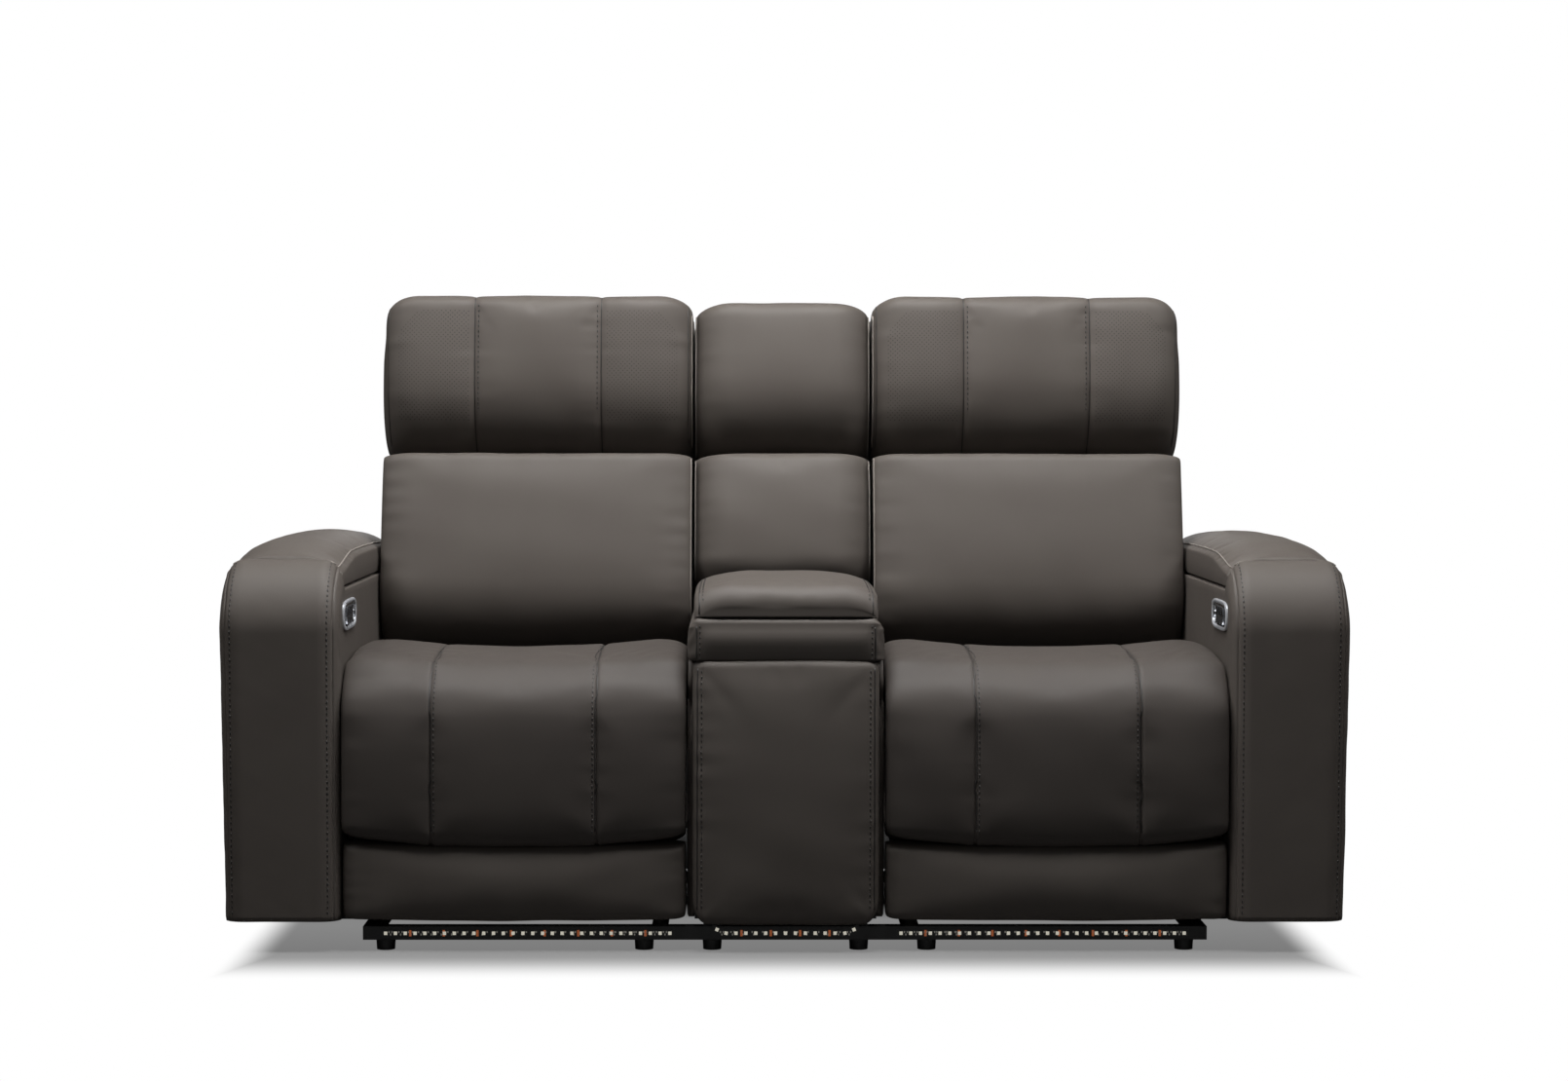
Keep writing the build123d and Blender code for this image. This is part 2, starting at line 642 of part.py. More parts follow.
def switch_bezel():
    """The switch panel's metal rim and tray, with pockets for its keys."""
    rim_x = ARM_INNER - PANEL_PROUD
    rim = plate(rim_x, PANEL_PROUD - SEATED, panel_outline(PANEL_LENGTH, PANEL_HEIGHT, PANEL_CORNER))
    body_outline = panel_outline(PANEL_LENGTH - PANEL_RIM, PANEL_HEIGHT - PANEL_RIM, PANEL_CORNER)
    body = plate(rim_x, PANEL_PROUD + PANEL_DEPTH - SEATED, body_outline)
    inside = panel_outline(
        PANEL_LENGTH - 2 * PANEL_RIM, PANEL_HEIGHT - 2 * PANEL_RIM, PANEL_CORNER - PANEL_RIM / 2
    )
    shape = rim + body - plate(rim_x, PANEL_PROUD / 2, inside)
    for index in range(3):
        y = rocker_y(index)
        shape -= block(
            (rim_x, ARM_INNER + PANEL_DEPTH - PANEL_FLOOR),
            (y - ROCKER_LENGTH / 2 - BUTTON_GAP, y + ROCKER_LENGTH / 2 + BUTTON_GAP),
            (PANEL_Z - ROCKER_HEIGHT / 2 - BUTTON_GAP, PANEL_Z + ROCKER_HEIGHT / 2 + BUTTON_GAP),
        )
        shape += (
            Pos(rocker_x(), y, PANEL_Z)
            * Rot(X=90)
            * Cylinder(ROCKER_PIN_RADIUS, ROCKER_LENGTH + 2 * BUTTON_GAP)
        )
    y = FRONT_Y + PANEL_SETBACK + BUTTON_OFFSET
    shape -= rod((rim_x, ARM_INNER + PANEL_DEPTH - PANEL_FLOOR), y, PANEL_Z, BUTTON_RADIUS + PIN_GAP)
    return shape


def rocker_y(index):
    """Place of one rocker key along the switch panel."""
    return FRONT_Y + PANEL_SETBACK + ROCKER_FIRST_OFFSET + index * ROCKER_PITCH


def rocker_x():
    """Depth of the rocker keys' pivot pins."""
    return ARM_INNER + ROCKER_PIN_RADIUS + 1.0


def rocker(index):
    """A two-ended key, hollowed in the middle, that tips on its own pin."""
    y = rocker_y(index)
    proud = ARM_INNER - PANEL_PROUD - BUTTON_PROUD
    half_height = ROCKER_HEIGHT / 2
    heel = ARM_INNER + PANEL_DEPTH - PANEL_FLOOR - BUTTON_PROUD - BUTTON_GAP
    points = [
        (proud, half_height), (proud + BUTTON_PROUD, 0), (proud, -half_height),
        (heel - BUTTON_PROUD, -half_height), (heel, 0), (heel - BUTTON_PROUD, half_height),
    ]
    outline = Polyline(*[(x, y - ROCKER_LENGTH / 2, PANEL_Z + z) for x, z in points], close=True)
    key = extrude(make_face(outline), amount=ROCKER_LENGTH, dir=(0, 1, 0))
    bore = Pos(rocker_x(), y, PANEL_Z) * Rot(X=90) * Cylinder(ROCKER_PIN_RADIUS + PIN_GAP, ROCKER_LENGTH)
    return key - bore


def light_button():
    """The round push button of the light strip."""
    y = FRONT_Y + PANEL_SETBACK + BUTTON_OFFSET
    proud = ARM_INNER - PANEL_PROUD - BUTTON_PROUD / 2
    heel = ARM_INNER + PANEL_DEPTH - PANEL_FLOOR - BUTTON_PROUD
    return rod((proud, heel), y, PANEL_Z, BUTTON_RADIUS)


# ---- seat module, around X = 0
def seat_outline(x, lower, shorter):
    """The seat cushion's side outline, cut back to the footrest fold at its front."""
    reach = HINGE_Y - ROLL_CENTRE_Y
    arc_z = ROLL_CENTRE_Z + sqrt(FRONT_ROLL_RADIUS**2 - reach**2) - lower
    bend = (ROLL_CENTRE_Y + reach / 2, ROLL_CENTRE_Z + sqrt(FRONT_ROLL_RADIUS**2 - reach**2 / 4) - lower)
    top_front = (ROLL_CENTRE_Y, SEAT_FRONT_TOP - lower)
    rear = SEAT_REAR_Y - shorter
    top_rear = (rear - SEAT_REAR_RADIUS, SEAT_REAR_TOP - lower)
    half = SEAT_REAR_RADIUS * (1 - sqrt(0.5))
    crown = ((top_front[0] + top_rear[0]) / 2 - SEAT_REAR_RADIUS, SEAT_CROWN_TOP - lower)
    fold = HINGE_Z + FOLD_GAP
    edges = [
        Edge.make_line((x, rear, SEAT_BOTTOM), (x, rear, top_rear[1] - SEAT_REAR_RADIUS)),
        Edge.make_three_point_arc(
            (x, rear, top_rear[1] - SEAT_REAR_RADIUS),
            (x, rear - half, top_rear[1] - half),
            (x, *top_rear),
        ),
        Edge.make_three_point_arc((x, *top_rear), (x, *crown), (x, *top_front)),
        Edge.make_three_point_arc((x, *top_front), (x, *bend), (x, HINGE_Y, arc_z)),
        Edge.make_line((x, HINGE_Y, arc_z), (x, HINGE_Y, fold)),
        Edge.make_line((x, HINGE_Y, fold), (x, HINGE_Y + fold - SEAT_BOTTOM, SEAT_BOTTOM)),
        Edge.make_line((x, HINGE_Y + fold - SEAT_BOTTOM, SEAT_BOTTOM), (x, rear, SEAT_BOTTOM)),
    ]
    return Wire(edges)


def hinge_slots():
    """What the fold's hinge plates take out of the cushions, inside their rounded skin."""
    width = 2 * PLATE + HINGE_PLATE_GAP + 2 * HINGE_SLOT_GAP
    low = HINGE_ARM_OFFSET - HINGE_SLOT_GAP
    reach = HINGE_KNUCKLE + HINGE_SLOT_GAP
    diagonal = reach * sqrt(0.5)
    outline = [
        (HINGE_Y - reach, HINGE_Z), (HINGE_Y - reach, LUG_Z), (DECK_FRONT_Y + BOARD, LUG_Z),
        (DECK_FRONT_Y + BOARD, DECK_TOP + BOARD + reach), (HINGE_Y + diagonal, HINGE_Z + diagonal),
    ]
    slots = []
    for x_range in ((low, low + width), (-low - width, -low)):
        slots.append(plate(x_range[0], width, outline) + rod(x_range, HINGE_Y, HINGE_Z, reach))
    return slots


def seat_cushion():
    """The sprung foam seat, with two sewn channels, raised sides and a rounded front."""
    outlines = []
    for x in stations(SEAT_HALF, BACK_SIDE_ROUND, SEAT_SEAM):
        fall = side_fall(SEAT_HALF - abs(x), BACK_SIDE_ROUND)
        bolster = BOLSTER_RISE * max(0.0, abs(x) - SEAT_SEAM) / (SEAT_HALF - SEAT_SEAM)
        lower = SEAT_DRAW * fall + CHANNEL_DEPTH * channel(x, SEAT_SEAM) - bolster
        outlines.append(seat_outline(x, lower, SEAT_REAR_DRAW * fall))
    return without(Solid.make_loft(outlines, ruled=True), hinge_slots())


def footrest_upper_pad():
    """The upper footrest pad, which continues the seat's front down to the split."""
    board = -BOARD_FRONT_Y + SEATED
    outlines = []
    for x in stations(SEAT_HALF, BACK_SIDE_ROUND, SEAT_SEAM):
        fall = side_fall(SEAT_HALF - abs(x), BACK_SIDE_ROUND)
        inset = FOOTREST_DRAW * fall + CHANNEL_DEPTH * channel(x, SEAT_SEAM)
        radius = FRONT_ROLL_RADIUS - inset
        top = HINGE_Z - FOLD_GAP
        lift = top - ROLL_CENTRE_Z
        start = (ROLL_CENTRE_Y - sqrt(radius**2 - lift**2), top)
        bend = (
            ROLL_CENTRE_Y - sqrt(radius**2 - lift**2 / 4),
            ROLL_CENTRE_Z + lift / 2,
        )
        face = FRONT_Y + inset
        low = FOOTREST_SPLIT_HIGH + FOOTREST_LOW_DRAW * fall
        round_end = PAD_EDGE_RADIUS * (1 - sqrt(0.5))
        ray_z = top - (-board - HINGE_Y)
        edges = [
            Edge.make_line((x, -board, low), (x, -board, ray_z)),
            Edge.make_line((x, -board, ray_z), (x, HINGE_Y, top)),
            Edge.make_line((x, HINGE_Y, top), (x, *start)),
            Edge.make_three_point_arc((x, *start), (x, *bend), (x, face, ROLL_CENTRE_Z)),
            Edge.make_three_point_arc(
                (x, face, ROLL_CENTRE_Z),
                (x, face - FRONT_CROWN, (ROLL_CENTRE_Z + low) / 2),
                (x, face, low + PAD_EDGE_RADIUS),
            ),
            Edge.make_three_point_arc(
                (x, face, low + PAD_EDGE_RADIUS),
                (x, face + round_end, low + round_end),
                (x, face + PAD_EDGE_RADIUS, low),
            ),
            Edge.make_line((x, face + PAD_EDGE_RADIUS, low), (x, -board, low)),
        ]
        outlines.append(Wire(edges))
    return without(Solid.make_loft(outlines, ruled=True), hinge_slots())


def footrest_lower_pad():
    """The plain lower footrest pad."""
    return pad(
        SEAT_HALF - 3.0, rear_facing, -BOARD_FRONT_Y + SEATED, -FRONT_Y - LOWER_PAD_SETBACK,
        SKIRT_BOTTOM, FOOTREST_SPLIT_LOW, r_low=12.0, r_high=14.0, crown=2.0,
        draw=12.0, corner=5.0, side_round=24.0, puff=2.0, low_corner=8.0,
    )


def link(x_range, start, end, bores=(), pins=()):
    """A flat bar with rounded ends between two (y, z) points across an X range."""
    half = LINK_WIDTH / 2
    dy, dz = end[0] - start[0], end[1] - start[1]
    length = sqrt(dy**2 + dz**2)
    ny, nz = -dz / length * half, dy / length * half
    shape = plate(
        x_range[0],
        x_range[1] - x_range[0],
        [
            (start[0] + ny, start[1] + nz), (end[0] + ny, end[1] + nz),
            (end[0] - ny, end[1] - nz), (start[0] - ny, start[1] - nz),
        ],
    )
    for y, z in (start, end):
        shape += rod(x_range, y, z, half)
    for (y, z), radius in bores:
        shape -= rod(x_range, y, z, radius)
    for (y, z), radius, reach in pins:
        shape += rod(reach, y, z, radius)
    return shape


def footrest_board():
    """The footrest's plywood board, its two hinge arms and the lugs of its stay links."""
    board = block(
        (-FOOTREST_BOARD_HALF, FOOTREST_BOARD_HALF),
        (BOARD_FRONT_Y, BOARD_REAR_Y),
        (FOOTREST_BOARD_BOTTOM, FOOTREST_BOARD_TOP),
    )
    weld_low = FOOTREST_BOARD_TOP - ARM_WELD_LENGTH

    def hinge_arm(side):
        x_range = span(side, HINGE_ARM_OFFSET + PLATE + HINGE_PLATE_GAP, PLATE)
        reach = 1.2 * HINGE_KNUCKLE
        shape = plate(
            x_range[0],
            PLATE,
            [
                (BOARD_FRONT_Y - SEATED, weld_low), (BOARD_FRONT_Y - 2 * HINGE_KNUCKLE, weld_low),
                (HINGE_Y - reach / 2, HINGE_Z), (HINGE_Y + reach / 2, HINGE_Z),
                (BOARD_FRONT_Y - SEATED, FOOTREST_BOARD_TOP),
            ],
        )
        shape += rod(x_range, HINGE_Y, HINGE_Z, HINGE_KNUCKLE)
        return shape - rod(x_range, HINGE_Y, HINGE_Z, LINK_PIN_RADIUS + PIN_GAP)

    def lug(side):
        x_range = span(side, LUG_OFFSET, PLATE)
        half = LINK_WIDTH / 2
        shape = block(x_range, (BOARD_REAR_Y, LUG_Y), (LUG_Z - half, LUG_Z + half))
        shape += rod(x_range, LUG_Y, LUG_Z, half)
        pin = span(side, LUG_OFFSET, STAY_OFFSET + PLATE + 1.0 - LUG_OFFSET)
        return shape + rod(pin, LUG_Y, LUG_Z, LINK_PIN_RADIUS)

    return [board] + both(hinge_arm) + both(lug)


def footrest_drive_links():
    """The drive tube across the seat, with the two long links that swing with it."""
    bar = rod((-LINK_OFFSET, LINK_OFFSET), DRIVE_Y, DRIVE_TUBE_Z, DRIVE_TUBE_RADIUS)
    bar -= rod((-LINK_OFFSET, LINK_OFFSET), DRIVE_Y, DRIVE_TUBE_Z, DRIVE_TUBE_RADIUS - TUBE_WALL)

    def swing(side):
        x_range = span(side, LINK_OFFSET, PLATE)
        stub = span(side, LINK_OFFSET, PLATE_OFFSET + PLATE + 2.0 - LINK_OFFSET)
        end_pin = span(side, STAY_OFFSET - 1.0, LINK_OFFSET + PLATE - STAY_OFFSET + 1.0)
        return link(
            x_range,
            (DRIVE_Y, DRIVE_TUBE_Z),
            (STAY_END_Y, STAY_END_Z),
            pins=[
                ((DRIVE_Y, DRIVE_TUBE_Z), BACK_PIVOT_RADIUS, stub),
                ((STAY_END_Y, STAY_END_Z), LINK_PIN_RADIUS, end_pin),
            ],
        )

    return [bar] + both(swing)


def footrest_stay_links():
    """The two short links from the footrest's lugs to the ends of the drive links."""

    def stay(side):
        return link(
            span(side, STAY_OFFSET, PLATE),
            (LUG_Y, LUG_Z),
            (STAY_END_Y, STAY_END_Z),
            bores=[
                ((LUG_Y, LUG_Z), LINK_PIN_RADIUS + PIN_GAP),
                ((STAY_END_Y, STAY_END_Z), LINK_PIN_RADIUS + LOOSE_PIN_GAP),
            ],
        )

    return both(stay)


def seat_deck():
    """Plywood boards round the seat, with elastic straps across them."""
    top = DECK_TOP - STRAP_THICKNESS
    z_range = (top - DECK_BOARD_HEIGHT, top)
    inner = SEAT_HALF - BOARD
    pieces = [
        block((-inner, inner), (DECK_FRONT_Y, DECK_FRONT_Y + BOARD), z_range),
        block((-inner, inner), (DECK_REAR_Y - BOARD, DECK_REAR_Y), z_range),
        block((inner, SEAT_HALF), (DECK_FRONT_Y, DECK_REAR_Y), z_range),
        block((-SEAT_HALF, -inner), (DECK_FRONT_Y, DECK_REAR_Y), z_range),
    ]
    for index in range(STRAP_COUNT):
        x = (index - (STRAP_COUNT - 1) / 2) * STRAP_PITCH
        pieces.append(
            block((x - STRAP_WIDTH / 2, x + STRAP_WIDTH / 2), (DECK_FRONT_Y, DECK_REAR_Y), (top, DECK_TOP))
        )
    return pieces


def mechanism_frame():
    """Steel side plates with their rollers and pivots, cross tubes and fold hinge plates."""
    deck_bottom = DECK_TOP - STRAP_THICKNESS - DECK_BOARD_HEIGHT
    outline = [
        (DECK_FRONT_Y + BOARD, deck_bottom), (DECK_FRONT_Y + BOARD, ROLLER_Z + LINK_WIDTH),
        (DECK_FRONT_Y + 2 * BOARD + LINK_WIDTH, PLATE_BOTTOM), (DECK_REAR_Y - LINK_WIDTH, PLATE_BOTTOM),
        (DECK_REAR_Y + LINK_WIDTH, CROSS_TUBE_Z),
        (BACK_PIVOT_Y + LINK_WIDTH / 2, BACK_PIVOT_Z - LINK_WIDTH),
        (BACK_PIVOT_Y, BACK_PIVOT_Z + LINK_WIDTH * 0.8), (DECK_REAR_Y, deck_bottom),
    ]

    def side_plate(side):
        x_range = span(side, PLATE_OFFSET, PLATE)
        shape = plate(x_range[0], PLATE, outline) + rod(x_range, BACK_PIVOT_Y, BACK_PIVOT_Z, LINK_WIDTH)
        shape -= rod(x_range, DRIVE_Y, DRIVE_TUBE_Z, BACK_PIVOT_RADIUS + PIN_GAP)
        pivot = span(side, PLATE_OFFSET, SEAT_HALF - PLATE_OFFSET)
        shape += rod(pivot, BACK_PIVOT_Y, BACK_PIVOT_Z, BACK_PIVOT_RADIUS)
        for setback in ROLLER_SETBACKS:
            roller = span(side, PLATE_OFFSET - 3 * PLATE, 4 * PLATE)
            shape += rod(roller, FRONT_Y + setback, ROLLER_Z, ROLLER_RADIUS)
        return shape

    def fold_plate(side):
        x_range = span(side, HINGE_ARM_OFFSET, PLATE)
        top = DECK_TOP - STRAP_THICKNESS
        shape = plate(
            x_range[0],
            PLATE,
            [
                (DECK_FRONT_Y - SEATED, top - DECK_BOARD_HEIGHT / 2), (DECK_FRONT_Y - SEATED, top + BOARD),
                (HINGE_Y + HINGE_KNUCKLE / 2, HINGE_Z + HINGE_KNUCKLE * 0.8),
                (HINGE_Y - HINGE_KNUCKLE / 2, HINGE_Z - HINGE_KNUCKLE * 0.8),
            ],
        )
        shape += rod(x_range, HINGE_Y, HINGE_Z, HINGE_KNUCKLE)
        pin = span(side, HINGE_ARM_OFFSET, 2 * PLATE + HINGE_PLATE_GAP + 1.0)
        return shape + rod(pin, HINGE_Y, HINGE_Z, LINK_PIN_RADIUS)

    tubes = []
    for setback in CROSS_TUBE_SETBACKS:
        reach = (-PLATE_OFFSET, PLATE_OFFSET)
        tube = rod(reach, FRONT_Y + setback, CROSS_TUBE_Z, CROSS_TUBE_RADIUS)
        tubes.append(tube - rod(reach, FRONT_Y + setback, CROSS_TUBE_Z, CROSS_TUBE_RADIUS - TUBE_WALL))
    return both(side_plate) + both(fold_plate) + tubes


def drive_motors():
    """Two linear actuators on the cross tubes: one for the footrest, one for the back."""
    pieces = []
    y_range = (FRONT_Y + CROSS_TUBE_SETBACKS[0], FRONT_Y + CROSS_TUBE_SETBACKS[1])
    half = ACTUATOR_RAIL_WIDTH / 2
    motor_top = RAIL_BOTTOM + SEATED
    for side in (-1, 1):
        x = side * ACTUATOR_SPREAD
        pieces.append(
            block((x - half, x + half), y_range, (motor_top, motor_top + ACTUATOR_RAIL_HEIGHT))
        )
        motor = Cylinder(MOTOR_RADIUS, MOTOR_LENGTH)
        pieces.append(Pos(x, FRONT_Y + MOTOR_SETBACK, motor_top - MOTOR_LENGTH / 2) * motor)
    return pieces


def slider(side, setback):
    """The nut block that an actuator drives along its rail."""
    x = side * ACTUATOR_SPREAD
    half = ACTUATOR_RAIL_WIDTH / 2 + SLIDER_GAP
    y = FRONT_Y + setback
    y_range = (y - SLIDER_LENGTH / 2, y + SLIDER_LENGTH / 2)
    low = RAIL_BOTTOM + SEATED
    high = low + ACTUATOR_RAIL_HEIGHT
    outer = block(
        (x - half - SLIDER_WALL, x + half + SLIDER_WALL),
        y_range,
        (low - SLIDER_GAP, high + SLIDER_GAP + SLIDER_WALL),
    )
    return outer - block((x - half, x + half), y_range, (low - SLIDER_GAP, high + SLIDER_GAP))


# ---- back module, in the leaning frame around X = 0
def head_arm_slots():
    """What the headrest's hinge arms take out of the pads and the headrest board."""
    width = 2 * PLATE + HINGE_PLATE_GAP + 2 * HINGE_SLOT_GAP
    low = HEAD_ARM_OFFSET - HINGE_SLOT_GAP
    y_range = (HEAD_PIVOT[0] - 2 * HINGE_KNUCKLE, BACK_PAD + BACK_PANEL + HINGE_KNUCKLE)
    z_range = (HEAD_ARM_ROOT - HINGE_KNUCKLE, HEAD_PIVOT[1] + 2 * HINGE_KNUCKLE)
    return [
        block((low, low + width), y_range, z_range),
        block((-low - width, -low), y_range, z_range),
    ]


def back_pad():
    """The lumbar pad: crowned, with a rounded top that tucks under the headrest."""
    shape = pad(
        SEAT_HALF, rear_facing, -BACK_PAD, 0.0, BACK_PAD_BOTTOM, BACK_PAD_TOP,
        r_low=30.0, r_high=BACK_TOP_RADIUS, crown=BACK_CROWN,
        draw=BACK_DRAW, corner=14.0, side_round=BACK_SIDE_ROUND, puff=6.0,
    )
    return lean(without(shape, head_arm_slots()))


def back_frame():
    """Plywood panel, side boards and top board of the back, with the headrest's arms."""
    y_range = (BACK_PAD + BACK_PANEL, BACK_PAD + BACK_PANEL + BACK_BOARD_DEPTH)
    inner = SEAT_HALF - BOARD
    panel = block(
        (-SEAT_HALF, SEAT_HALF),
        (BACK_PAD + SEATED, BACK_PAD + BACK_PANEL),
        (BACK_PAD_BOTTOM, BACK_FRAME_TOP),
    )
    pieces = [panel, block((-inner, inner), y_range, (BACK_FRAME_TOP - BOARD, BACK_FRAME_TOP))]
    for side in (-1, 1):
        board = block(span(side, inner, BOARD), y_range, (BACK_FRAME_BOTTOM, BACK_FRAME_TOP))
        pieces.append(
            board - rod(span(side, inner, BOARD), BACK_PIVOT[0], BACK_PIVOT[1], BACK_PIVOT_RADIUS + PIN_GAP)
        )

    def head_arm(side):
        x_range = span(side, HEAD_ARM_OFFSET, PLATE)
        face = BACK_PAD
        shape = plate(
            x_range[0],
            PLATE,
            [
                (face, HEAD_ARM_ROOT), (face - 2 * HINGE_KNUCKLE, HEAD_ARM_ROOT),
                (HEAD_PIVOT[0] - HINGE_KNUCKLE * 0.8, HEAD_PIVOT[1] - HINGE_KNUCKLE * 0.5),
                (HEAD_PIVOT[0] + HINGE_KNUCKLE * 0.8, HEAD_PIVOT[1] + HINGE_KNUCKLE * 0.5),
                (face, BACK_FRAME_TOP),
            ],
        )
        shape += rod(x_range, HEAD_PIVOT[0], HEAD_PIVOT[1], HINGE_KNUCKLE)
        pin = span(side, HEAD_ARM_OFFSET, 2 * PLATE + HINGE_PLATE_GAP + 1.0)
        return shape + rod(pin, HEAD_PIVOT[0], HEAD_PIVOT[1], HEAD_PIVOT_RADIUS)

    return [lean(piece) for piece in pieces + both(head_arm)]


def back_shell():
    """The upholstered outside panel of the back."""
    front = BACK_PAD + BACK_PANEL + BACK_BOARD_DEPTH + SEATED
    shape = block(
        (-SEAT_HALF, SEAT_HALF), (front, BACK_THICKNESS), (BACK_SHELL_BOTTOM, BACK_FRAME_TOP)
    )
    rear_edges = shape.faces().sort_by(Axis.Y)[-1].edges()
    return lean(fillet(rear_edges, (BACK_THICKNESS - front) * 0.6))


def headrest_pad():
    """The puffed headrest pad with two sewn channels and a deeply rounded lower edge."""
    shape = pad(
        SEAT_HALF, rear_facing, -HEAD_PAD, 0.0, HEAD_BOTTOM, BACK_LENGTH,
        r_low=HEAD_CORNER_RADIUS, r_high=HEAD_TOP_RADIUS, crown=HEAD_CROWN,
        draw=HEAD_DRAW, corner=HEAD_CORNER, side_round=HEAD_SIDE_ROUND, seam=HEAD_SEAM,
        puff=0.0, low_corner=12.0,
    )
    return lean(without(shape, head_arm_slots()))


def headrest_frame():
    """The headrest's board with two hinge ears, and its closed upholstered rear box."""
    front = HEAD_PAD + SEATED
    rear = HEAD_PAD + BOARD
    top = BACK_LENGTH - HEAD_CORNER
    board = block((-HEAD_BOARD_HALF, HEAD_BOARD_HALF), (front, rear), (HEAD_BOTTOM, top))
    board = without(board, head_arm_slots())

    def ear(side):
        x_range = span(side, HEAD_ARM_OFFSET + PLATE + HINGE_PLATE_GAP, PLATE)
        low = HEAD_PIVOT[1] + HINGE_KNUCKLE
        shape = plate(
            x_range[0],
            PLATE,
            [
                (front, low + 2 * HINGE_KNUCKLE), (front, low + 6 * HINGE_KNUCKLE),
                (HEAD_PIVOT[0] - HINGE_KNUCKLE * 0.8, HEAD_PIVOT[1]),
                (HEAD_PIVOT[0] + HINGE_KNUCKLE * 0.8, HEAD_PIVOT[1]),
            ],
        )
        shape += rod(x_range, HEAD_PIVOT[0], HEAD_PIVOT[1], HINGE_KNUCKLE)
        return shape - rod(x_range, HEAD_PIVOT[0], HEAD_PIVOT[1], HEAD_PIVOT_RADIUS + PIN_GAP)

    shell = block((-SEAT_HALF, SEAT_HALF), (rear + SEATED, BACK_THICKNESS), (HEAD_BOTTOM, BACK_LENGTH))
    shell = fillet(shell.faces().sort_by(Axis.Y)[-1].edges(), REAR_EDGE_RADIUS)
    wall = REAR_EDGE_RADIUS
    hollow = block(
        (-SEAT_HALF + wall, SEAT_HALF - wall),
        (rear + wall, BACK_THICKNESS - wall),
        (HEAD_BOTTOM + wall, BACK_LENGTH - wall),
    )
    return [lean(piece) for piece in [board, shell - hollow] + both(ear)]


def head_ear_slots():
    """What the headrest's own ears take out of its pad."""
    low = HEAD_ARM_OFFSET - HINGE_SLOT_GAP
    width = 2 * PLATE + HINGE_PLATE_GAP + 2 * HINGE_SLOT_GAP
    y_range = (HEAD_PIVOT[0] - 2 * HINGE_KNUCKLE, HEAD_PAD + BOARD)
    z_range = (HEAD_PIVOT[1], HEAD_PIVOT[1] + 8 * HINGE_KNUCKLE)
    return [
        lean(block((low, low + width), y_range, z_range)),
        lean(block((-low - width, -low), y_range, z_range)),
    ]


def headrest_motor():
    """The small actuator inside the back that tilts the headrest."""
    front = BACK_PAD + BACK_PANEL + SEATED
    width, depth, height = HEAD_MOTOR
    body = block((-width / 2, width / 2), (front, front + depth), (HEAD_MOTOR_Z, HEAD_MOTOR_Z + height))
    rod_low = HEAD_MOTOR_Z + height
    length = BACK_FRAME_TOP - BOARD - SEATED - rod_low
    body += Pos(0, front + depth / 2, rod_low + length / 2) * Cylinder(HEAD_ROD_RADIUS, length)
    return lean(body)


# ---- console
def console_box():
    """The plywood console: a storage bin above, and a space for the power supply below."""
    x_range = (-CONSOLE_BOX_HALF, CONSOLE_BOX_HALF)
    outer = block(x_range, (CONSOLE_BOX_FRONT_Y, CONSOLE_BOX_REAR_Y), (SKIRT_BOTTOM, CONSOLE_TOP))
    wall = CONSOLE_WALL
    storage = block(
        (x_range[0] + wall, x_range[1] - wall),
        (CONSOLE_BOX_FRONT_Y + wall, FRONT_Y + BIN_REAR_SETBACK),
        (BIN_FLOOR, CONSOLE_TOP),
    )
    below = block(
        (x_range[0] + wall, x_range[1] - wall),
        (CONSOLE_BOX_FRONT_Y + wall, CONSOLE_BOX_REAR_Y - wall),
        (SKIRT_BOTTOM, BIN_FLOOR - wall),
    )
    behind = block(
        (x_range[0] + wall, x_range[1] - wall),
        (FRONT_Y + BIN_REAR_SETBACK + wall, CONSOLE_BOX_REAR_Y - wall),
        (BIN_FLOOR - wall, CONSOLE_TOP - wall),
    )
    return outer - storage - below - behind


def console_front_panel():
    """The padded panel over the console's front, with rounded lower corners."""
    return pad(
        FRONT_PANEL_HALF, rear_facing, -CONSOLE_BOX_FRONT_Y + SEATED, -FRONT_Y - 5.0,
        FRONT_PANEL_BOTTOM, FRONT_PANEL_TOP, r_low=14.0, r_high=20.0, crown=3.0,
        draw=16.0, corner=14.0, side_round=26.0, puff=3.0, low_corner=FRONT_PANEL_CORNER,
    )


def console_collar():
    """The padded band round the top of the console box."""
    half = CONSOLE_HALF - COLLAR_SIDE_DRAW
    y_range = (FRONT_Y + COLLAR_SETBACK, CONSOLE_BOX_REAR_Y)
    upper = block((-half, half), y_range, (FRONT_PANEL_TOP + FOLD_GAP, CONSOLE_TOP))
    top = upper.faces().sort_by(Axis.Z)[-1].edges()
    upright = upper.edges().filter_by(Axis.Z).sort_by(Axis.Y)[:2]
    upper = fillet(list(top.sort_by(Axis.Y)[:1]) + list(upright), COLLAR_RADIUS)
    lower = block(
        (-half, half), (CONSOLE_BOX_FRONT_Y, CONSOLE_BOX_REAR_Y), (COLLAR_BOTTOM, FRONT_PANEL_TOP + FOLD_GAP)
    )
    box_space = block(
        (-CONSOLE_BOX_HALF - SEATED, CONSOLE_BOX_HALF + SEATED),
        (CONSOLE_BOX_FRONT_Y - SEATED, CONSOLE_BOX_REAR_Y),
        (COLLAR_BOTTOM, CONSOLE_TOP),
    )
    return upper + lower - box_space


